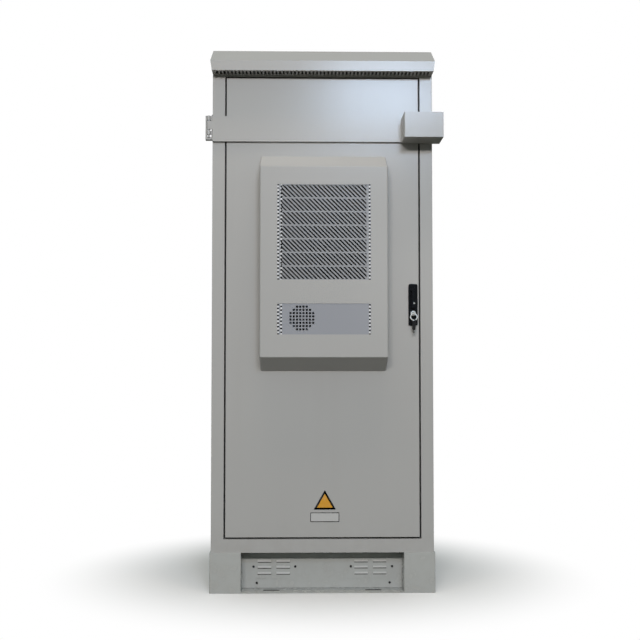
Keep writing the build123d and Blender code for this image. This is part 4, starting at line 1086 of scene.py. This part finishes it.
@dataclass
class SignPlates:
    """The amber triangle and the pale plate on the lower door."""

    paints: Paintbox
    face_y: float = -0.400
    apex: Pair = (0.0081, 0.3655)
    base_z: float = 0.2962
    plate_x: Pair = (-0.044, 0.060)
    plate_z: Pair = (0.2520, 0.2855)
    thickness: float = 0.0008
    triangle_band: float = 0.0068
    plate_band: float = 0.0024

    def triangle(self) -> None:
        """Models the triangle: rounded corners and a dark band round an amber field."""
        height = self.apex[1] - self.base_z
        radius = height * 2 / 3
        centre = (self.apex[0], self.face_y - self.thickness / 2, self.base_z + height / 3)
        plate = Bench.disc(centre, radius, self.thickness, 3)
        self.point_up(plate, centre)
        self.round_corners(plate, 0.0030, 4)
        self.band(plate, self.triangle_band, "amber_film")
        Bench.mount(plate, "sign_triangle", Body.DOOR, Slot.PAINT)

    @staticmethod
    def point_up(plate: bpy.types.Object, centre: Point) -> None:
        """Turns the triangle in its mesh until one corner is straight up.

        Args:
            plate: The triangle.
            centre: Its centre.
        """
        middle = Vector(centre)
        top = max((v.co for v in plate.data.vertices), key=lambda co: co.z)
        angle = math.atan2(top.x - middle.x, top.z - middle.z)
        turn = Matrix.Rotation(-angle, 4, "Y")
        plate.data.transform(Matrix.Translation(middle) @ turn @ Matrix.Translation(-middle))

    def round_corners(self, plate: bpy.types.Object, radius: float, steps: int) -> None:
        """Bevels the short edges through a plate's thickness.

        Args:
            plate: The plate.
            radius: How far the bevel reaches from a corner.
            steps: How many steps the bevel has.
        """
        points = plate.data.vertices

        def through(edge: bpy.types.MeshEdge) -> bool:
            """Whether an edge runs from front to back."""
            first, second = (points[number].co for number in edge.vertices)
            return abs(first.y - second.y) > self.thickness / 2

        Bench.pick(plate, Element.EDGE, through)
        bpy.ops.mesh.bevel(offset=radius, segments=steps)
        Bench.object_mode()

    def band(self, plate: bpy.types.Object, width: float, inner: str) -> None:
        """Insets the front face: a dark band round a field of another film.

        Args:
            plate: The plate.
            width: The band's width.
            inner: The name of the inner film.
        """
        faces = plate.data.polygons
        front = min(face.center.y for face in faces)
        flush = [face for face in faces if face.center.y < front + 1e-5]
        number = max(flush, key=lambda face: face.area).index
        for film in ("black_film", inner):
            plate.data.materials.append(self.paints[film])
        Bench.pick(plate, Element.FACE, lambda face: face.index == number)
        bpy.ops.mesh.inset(thickness=width, depth=0.0)
        plate.active_material_index = 1
        bpy.ops.object.material_slot_assign()
        Bench.object_mode()

    def panel(self) -> None:
        """Models the pale plate with its dark outline."""
        low = (self.plate_x[0], self.face_y - self.thickness, self.plate_z[0])
        high = (self.plate_x[1], self.face_y, self.plate_z[1])
        plate = Bench.block(low, high)
        self.round_corners(plate, 0.0025, 3)
        self.band(plate, self.plate_band, "pale_film")
        Bench.mount(plate, "sign_plate", Body.DOOR, Slot.PAINT)

    def build(self) -> None:
        """Models both plates."""
        self.triangle()
        self.panel()


@dataclass
class HandleTrim:
    """Small parts of the swing handle: the lock's collar and the lever's rivet and ridge."""

    paints: Paintbox
    x: float = 0.3275
    key_z: float = 1.000
    collar_radii: Pair = (0.0092, 0.0048)
    collar_depth: float = 0.0016
    collar_seat: float = 0.0006
    collar_sides: int = 40
    rivet_place: Pair = (0.3300, 1.0365)
    rivet_radius: float = 0.0030
    rivet_depth: float = 0.0012
    rivet_proud: float = 0.0004
    rivet_sides: int = 24
    ridge_half: float = 0.0038
    ridge_y: Pair = (-0.0012, 0.0005)
    ridge_z: Pair = (1.0420, 1.0700)

    def collar(self) -> None:
        """Models the bright ring round the lock plug."""
        low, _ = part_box("lock_plug")
        outer, inner = self.collar_radii
        middle = low.y - self.collar_depth / 2 + self.collar_seat
        ring = Bench.disc((self.x, middle, self.key_z), outer, self.collar_depth, self.collar_sides)
        hole = Bench.disc((self.x, low.y, self.key_z), inner, 0.02, self.collar_sides)
        Bench.carve(ring, hole)
        Bench.soften(ring, 0.0004)
        Bench.mount(ring, "lock_collar", Body.DOOR, Slot.HARDWARE, self.paints["key_metal"])

    def rivet(self) -> None:
        """Models the small bright rivet on the lever's face."""
        low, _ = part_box("handle_lever")
        x, z = self.rivet_place
        centre = (x, low.y - self.rivet_proud, z)
        rivet = Bench.disc(centre, self.rivet_radius, self.rivet_depth, self.rivet_sides)
        Bench.pick_front(rivet)
        bpy.ops.mesh.inset(thickness=0.0008, depth=0.0004)
        Bench.object_mode()
        Bench.soften(rivet, 0.0002)
        Bench.mount(rivet, "lever_rivet", Body.LEVER, Slot.HARDWARE, self.paints["key_metal"])

    def ridge(self) -> None:
        """Models the raised finger ridge along the lever."""
        face_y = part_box("handle_lever")[0].y
        low, high = ((self.x + side * self.ridge_half, face_y + y, z)
                     for side, y, z in zip((-1, 1), self.ridge_y, self.ridge_z))
        ridge = Bench.block(low, high)
        Bench.pick_front(ridge)
        bpy.ops.mesh.inset(thickness=0.0011, depth=0.0)
        bpy.ops.transform.translate(value=(0.0, -0.0005, 0.0))
        Bench.object_mode()
        Bench.soften(ridge, 0.0005, 3)
        Bench.mount(ridge, "lever_ridge", Body.LEVER, Slot.HANDLE, self.paints["handle_black"])

    def build(self) -> None:
        """Models the three trims."""
        self.collar()
        self.rivet()
        self.ridge()


@dataclass
class Studio:
    """The pale floor, the soft lamps and the camera of the photograph."""

    position: Point = (-0.082, -4.192, 0.807)
    lens: float = 59.06
    pitch: float = 2.56
    yaw: float = 1.10
    ambient: float = 0.41
    floor_size: float = 60.0
    floor_z: float = -0.0005
    under_half: Pair = (0.29, 0.40)
    fade: Pair = (0.45, 1.10)
    # Dim tone for the light the floor bounces, and the painted shadow under the cabinet.
    dim_bounce_and_under_shadow: Colour = (0.12, 0.115, 0.095)
    paper: Colour = (0.90, 0.90, 0.90)
    horizon: Pair = (-0.12, 0.25)
    below: Colour = (0.16, 0.155, 0.13)
    above: Colour = (0.86, 0.97, 0.96)

    def floor(self) -> None:
        """Makes a wide pale floor that fades to white away from the cabinet, with a painted shadow
        under the cabinet and a dim tone for the light the floor bounces.
        """
        Bench.clear()
        bpy.ops.mesh.primitive_plane_add(size=self.floor_size, location=(0.0, 0.0, self.floor_z))
        ground = bpy.context.active_object
        ground.name = "studio_floor"
        graph = Finish("studio_floor")
        away = graph.add("ShaderNodeVectorMath", {"operation": "LENGTH"}, {0: graph.place()},
                         "Value")
        wide, deep = self.under_half
        # Painted shadow: camera rays see the dim tone under the cabinet's footprint.
        under_shadow_patch = (graph.axis(0).size() < wide) * (graph.axis(1).size() < deep)
        seen = graph.add("ShaderNodeLightPath", output="Is Camera Ray") * (1.0 - under_shadow_patch)
        tone = graph.blend(seen, self.dim_bounce_and_under_shadow, self.paper)
        paper = graph.add("ShaderNodeBsdfPrincipled", inputs={"Base Color": tone, "Roughness": 0.7})
        white = graph.add("ShaderNodeEmission", inputs={"Color": WHITE, "Strength": 1.0})
        far = away.ease(*self.fade) * seen
        surface = graph.add("ShaderNodeMixShader", inputs={0: far, 1: paper, 2: white})
        graph.add("ShaderNodeOutputMaterial", inputs={"Surface": surface})
        ground.data.materials.append(graph.material)

    def sky(self) -> None:
        """Sets the light around: dim below the horizon, even above it, and seen as plain white."""
        world = bpy.data.worlds.new("studio")
        bpy.context.scene.world = world
        graph = Finish("studio", world)
        tone = graph.blend(graph.axis(2).ease(*self.horizon), self.below, self.above)
        soft = graph.add("ShaderNodeBackground", inputs={"Color": tone, "Strength": self.ambient})
        white = graph.add("ShaderNodeBackground", inputs={"Color": WHITE, "Strength": 1.0})
        seen = graph.add("ShaderNodeLightPath", output="Is Camera Ray")
        surface = graph.add("ShaderNodeMixShader", inputs={0: seen, 1: soft, 2: white})
        graph.add("ShaderNodeOutputWorld", inputs={"Surface": surface})

    @staticmethod
    def lamp(name: str, where: Point, aim: Point, size: Pair, power: float,
             colour: Colour, mirrored: bool = False) -> None:
        """Hangs one soft box.

        Args:
            name: The lamp's name.
            where: Its place.
            aim: The point it looks at.
            size: Its width and height.
            power: Its power in watts.
            colour: Its colour.
            mirrored: Whether glossy faces mirror it.
        """
        data = bpy.data.lights.new(name, "AREA")
        data.shape = "RECTANGLE"
        data.size, data.size_y = size
        data.energy = power
        data.color = colour
        lamp = bpy.data.objects.new(name, data)
        bpy.context.scene.collection.objects.link(lamp)
        lamp.location = where
        lamp.rotation_euler = (Vector(aim) - Vector(where)).to_track_quat("-Z", "Y").to_euler()
        lamp.visible_glossy = mirrored

    def lamps(self) -> None:
        """Hangs the top and the front light, and the window and glow that the door mirrors."""
        warm, cool, plain = (1.0, 0.82, 0.66), (0.60, 0.76, 1.0), (1.0, 0.95, 0.93)
        self.lamp("ceiling", (0.0, -1.9, 6.6), (0.0, -0.5, 1.0), (2.8, 0.8), 72.0, warm)
        self.lamp("window", (0.61, -4.7, 2.93), (0.2, -0.4, 1.7), (0.92, 0.42), 34.0, cool, True)
        self.lamp("glow", (0.80, -4.7, 1.45), (0.3, -0.4, 1.1), (0.80, 0.70), 2.0, WHITE, True)
        self.lamp("front", (-0.25, -5.9, 2.75), (0.0, -0.4, 1.0), (2.2, 0.3), 203.0, plain)

    def camera(self) -> None:
        """Sets the camera at the photograph's place."""
        data = bpy.data.cameras.new("view")
        data.sensor_width = 36.0
        data.sensor_fit = "HORIZONTAL"
        data.lens = self.lens
        camera = bpy.data.objects.new("view", data)
        bpy.context.scene.collection.objects.link(camera)
        camera.location = self.position
        camera.rotation_euler = (math.radians(90.0 + self.pitch), 0.0, math.radians(-self.yaw))
        bpy.context.scene.camera = camera

    def build(self) -> None:
        """Sets up floor, light and camera."""
        self.floor()
        self.sky()
        self.lamps()
        self.camera()
        bpy.context.scene.view_settings.view_transform = "Standard"


def main() -> None:
    """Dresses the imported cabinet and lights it."""
    logging.basicConfig(level=logging.INFO, format="%(name)s %(message)s")
    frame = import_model()
    paints = Paintbox()
    paints.mix()
    BodyFinishes(paints).dress(frame["nodes"])
    Screws(paints).build()
    PlinthRim(paints).build()
    SignPlates(paints).build()
    HandleTrim(paints).build()
    Studio().build()
    Bench.clear()


if __name__ == "__main__":
    main()
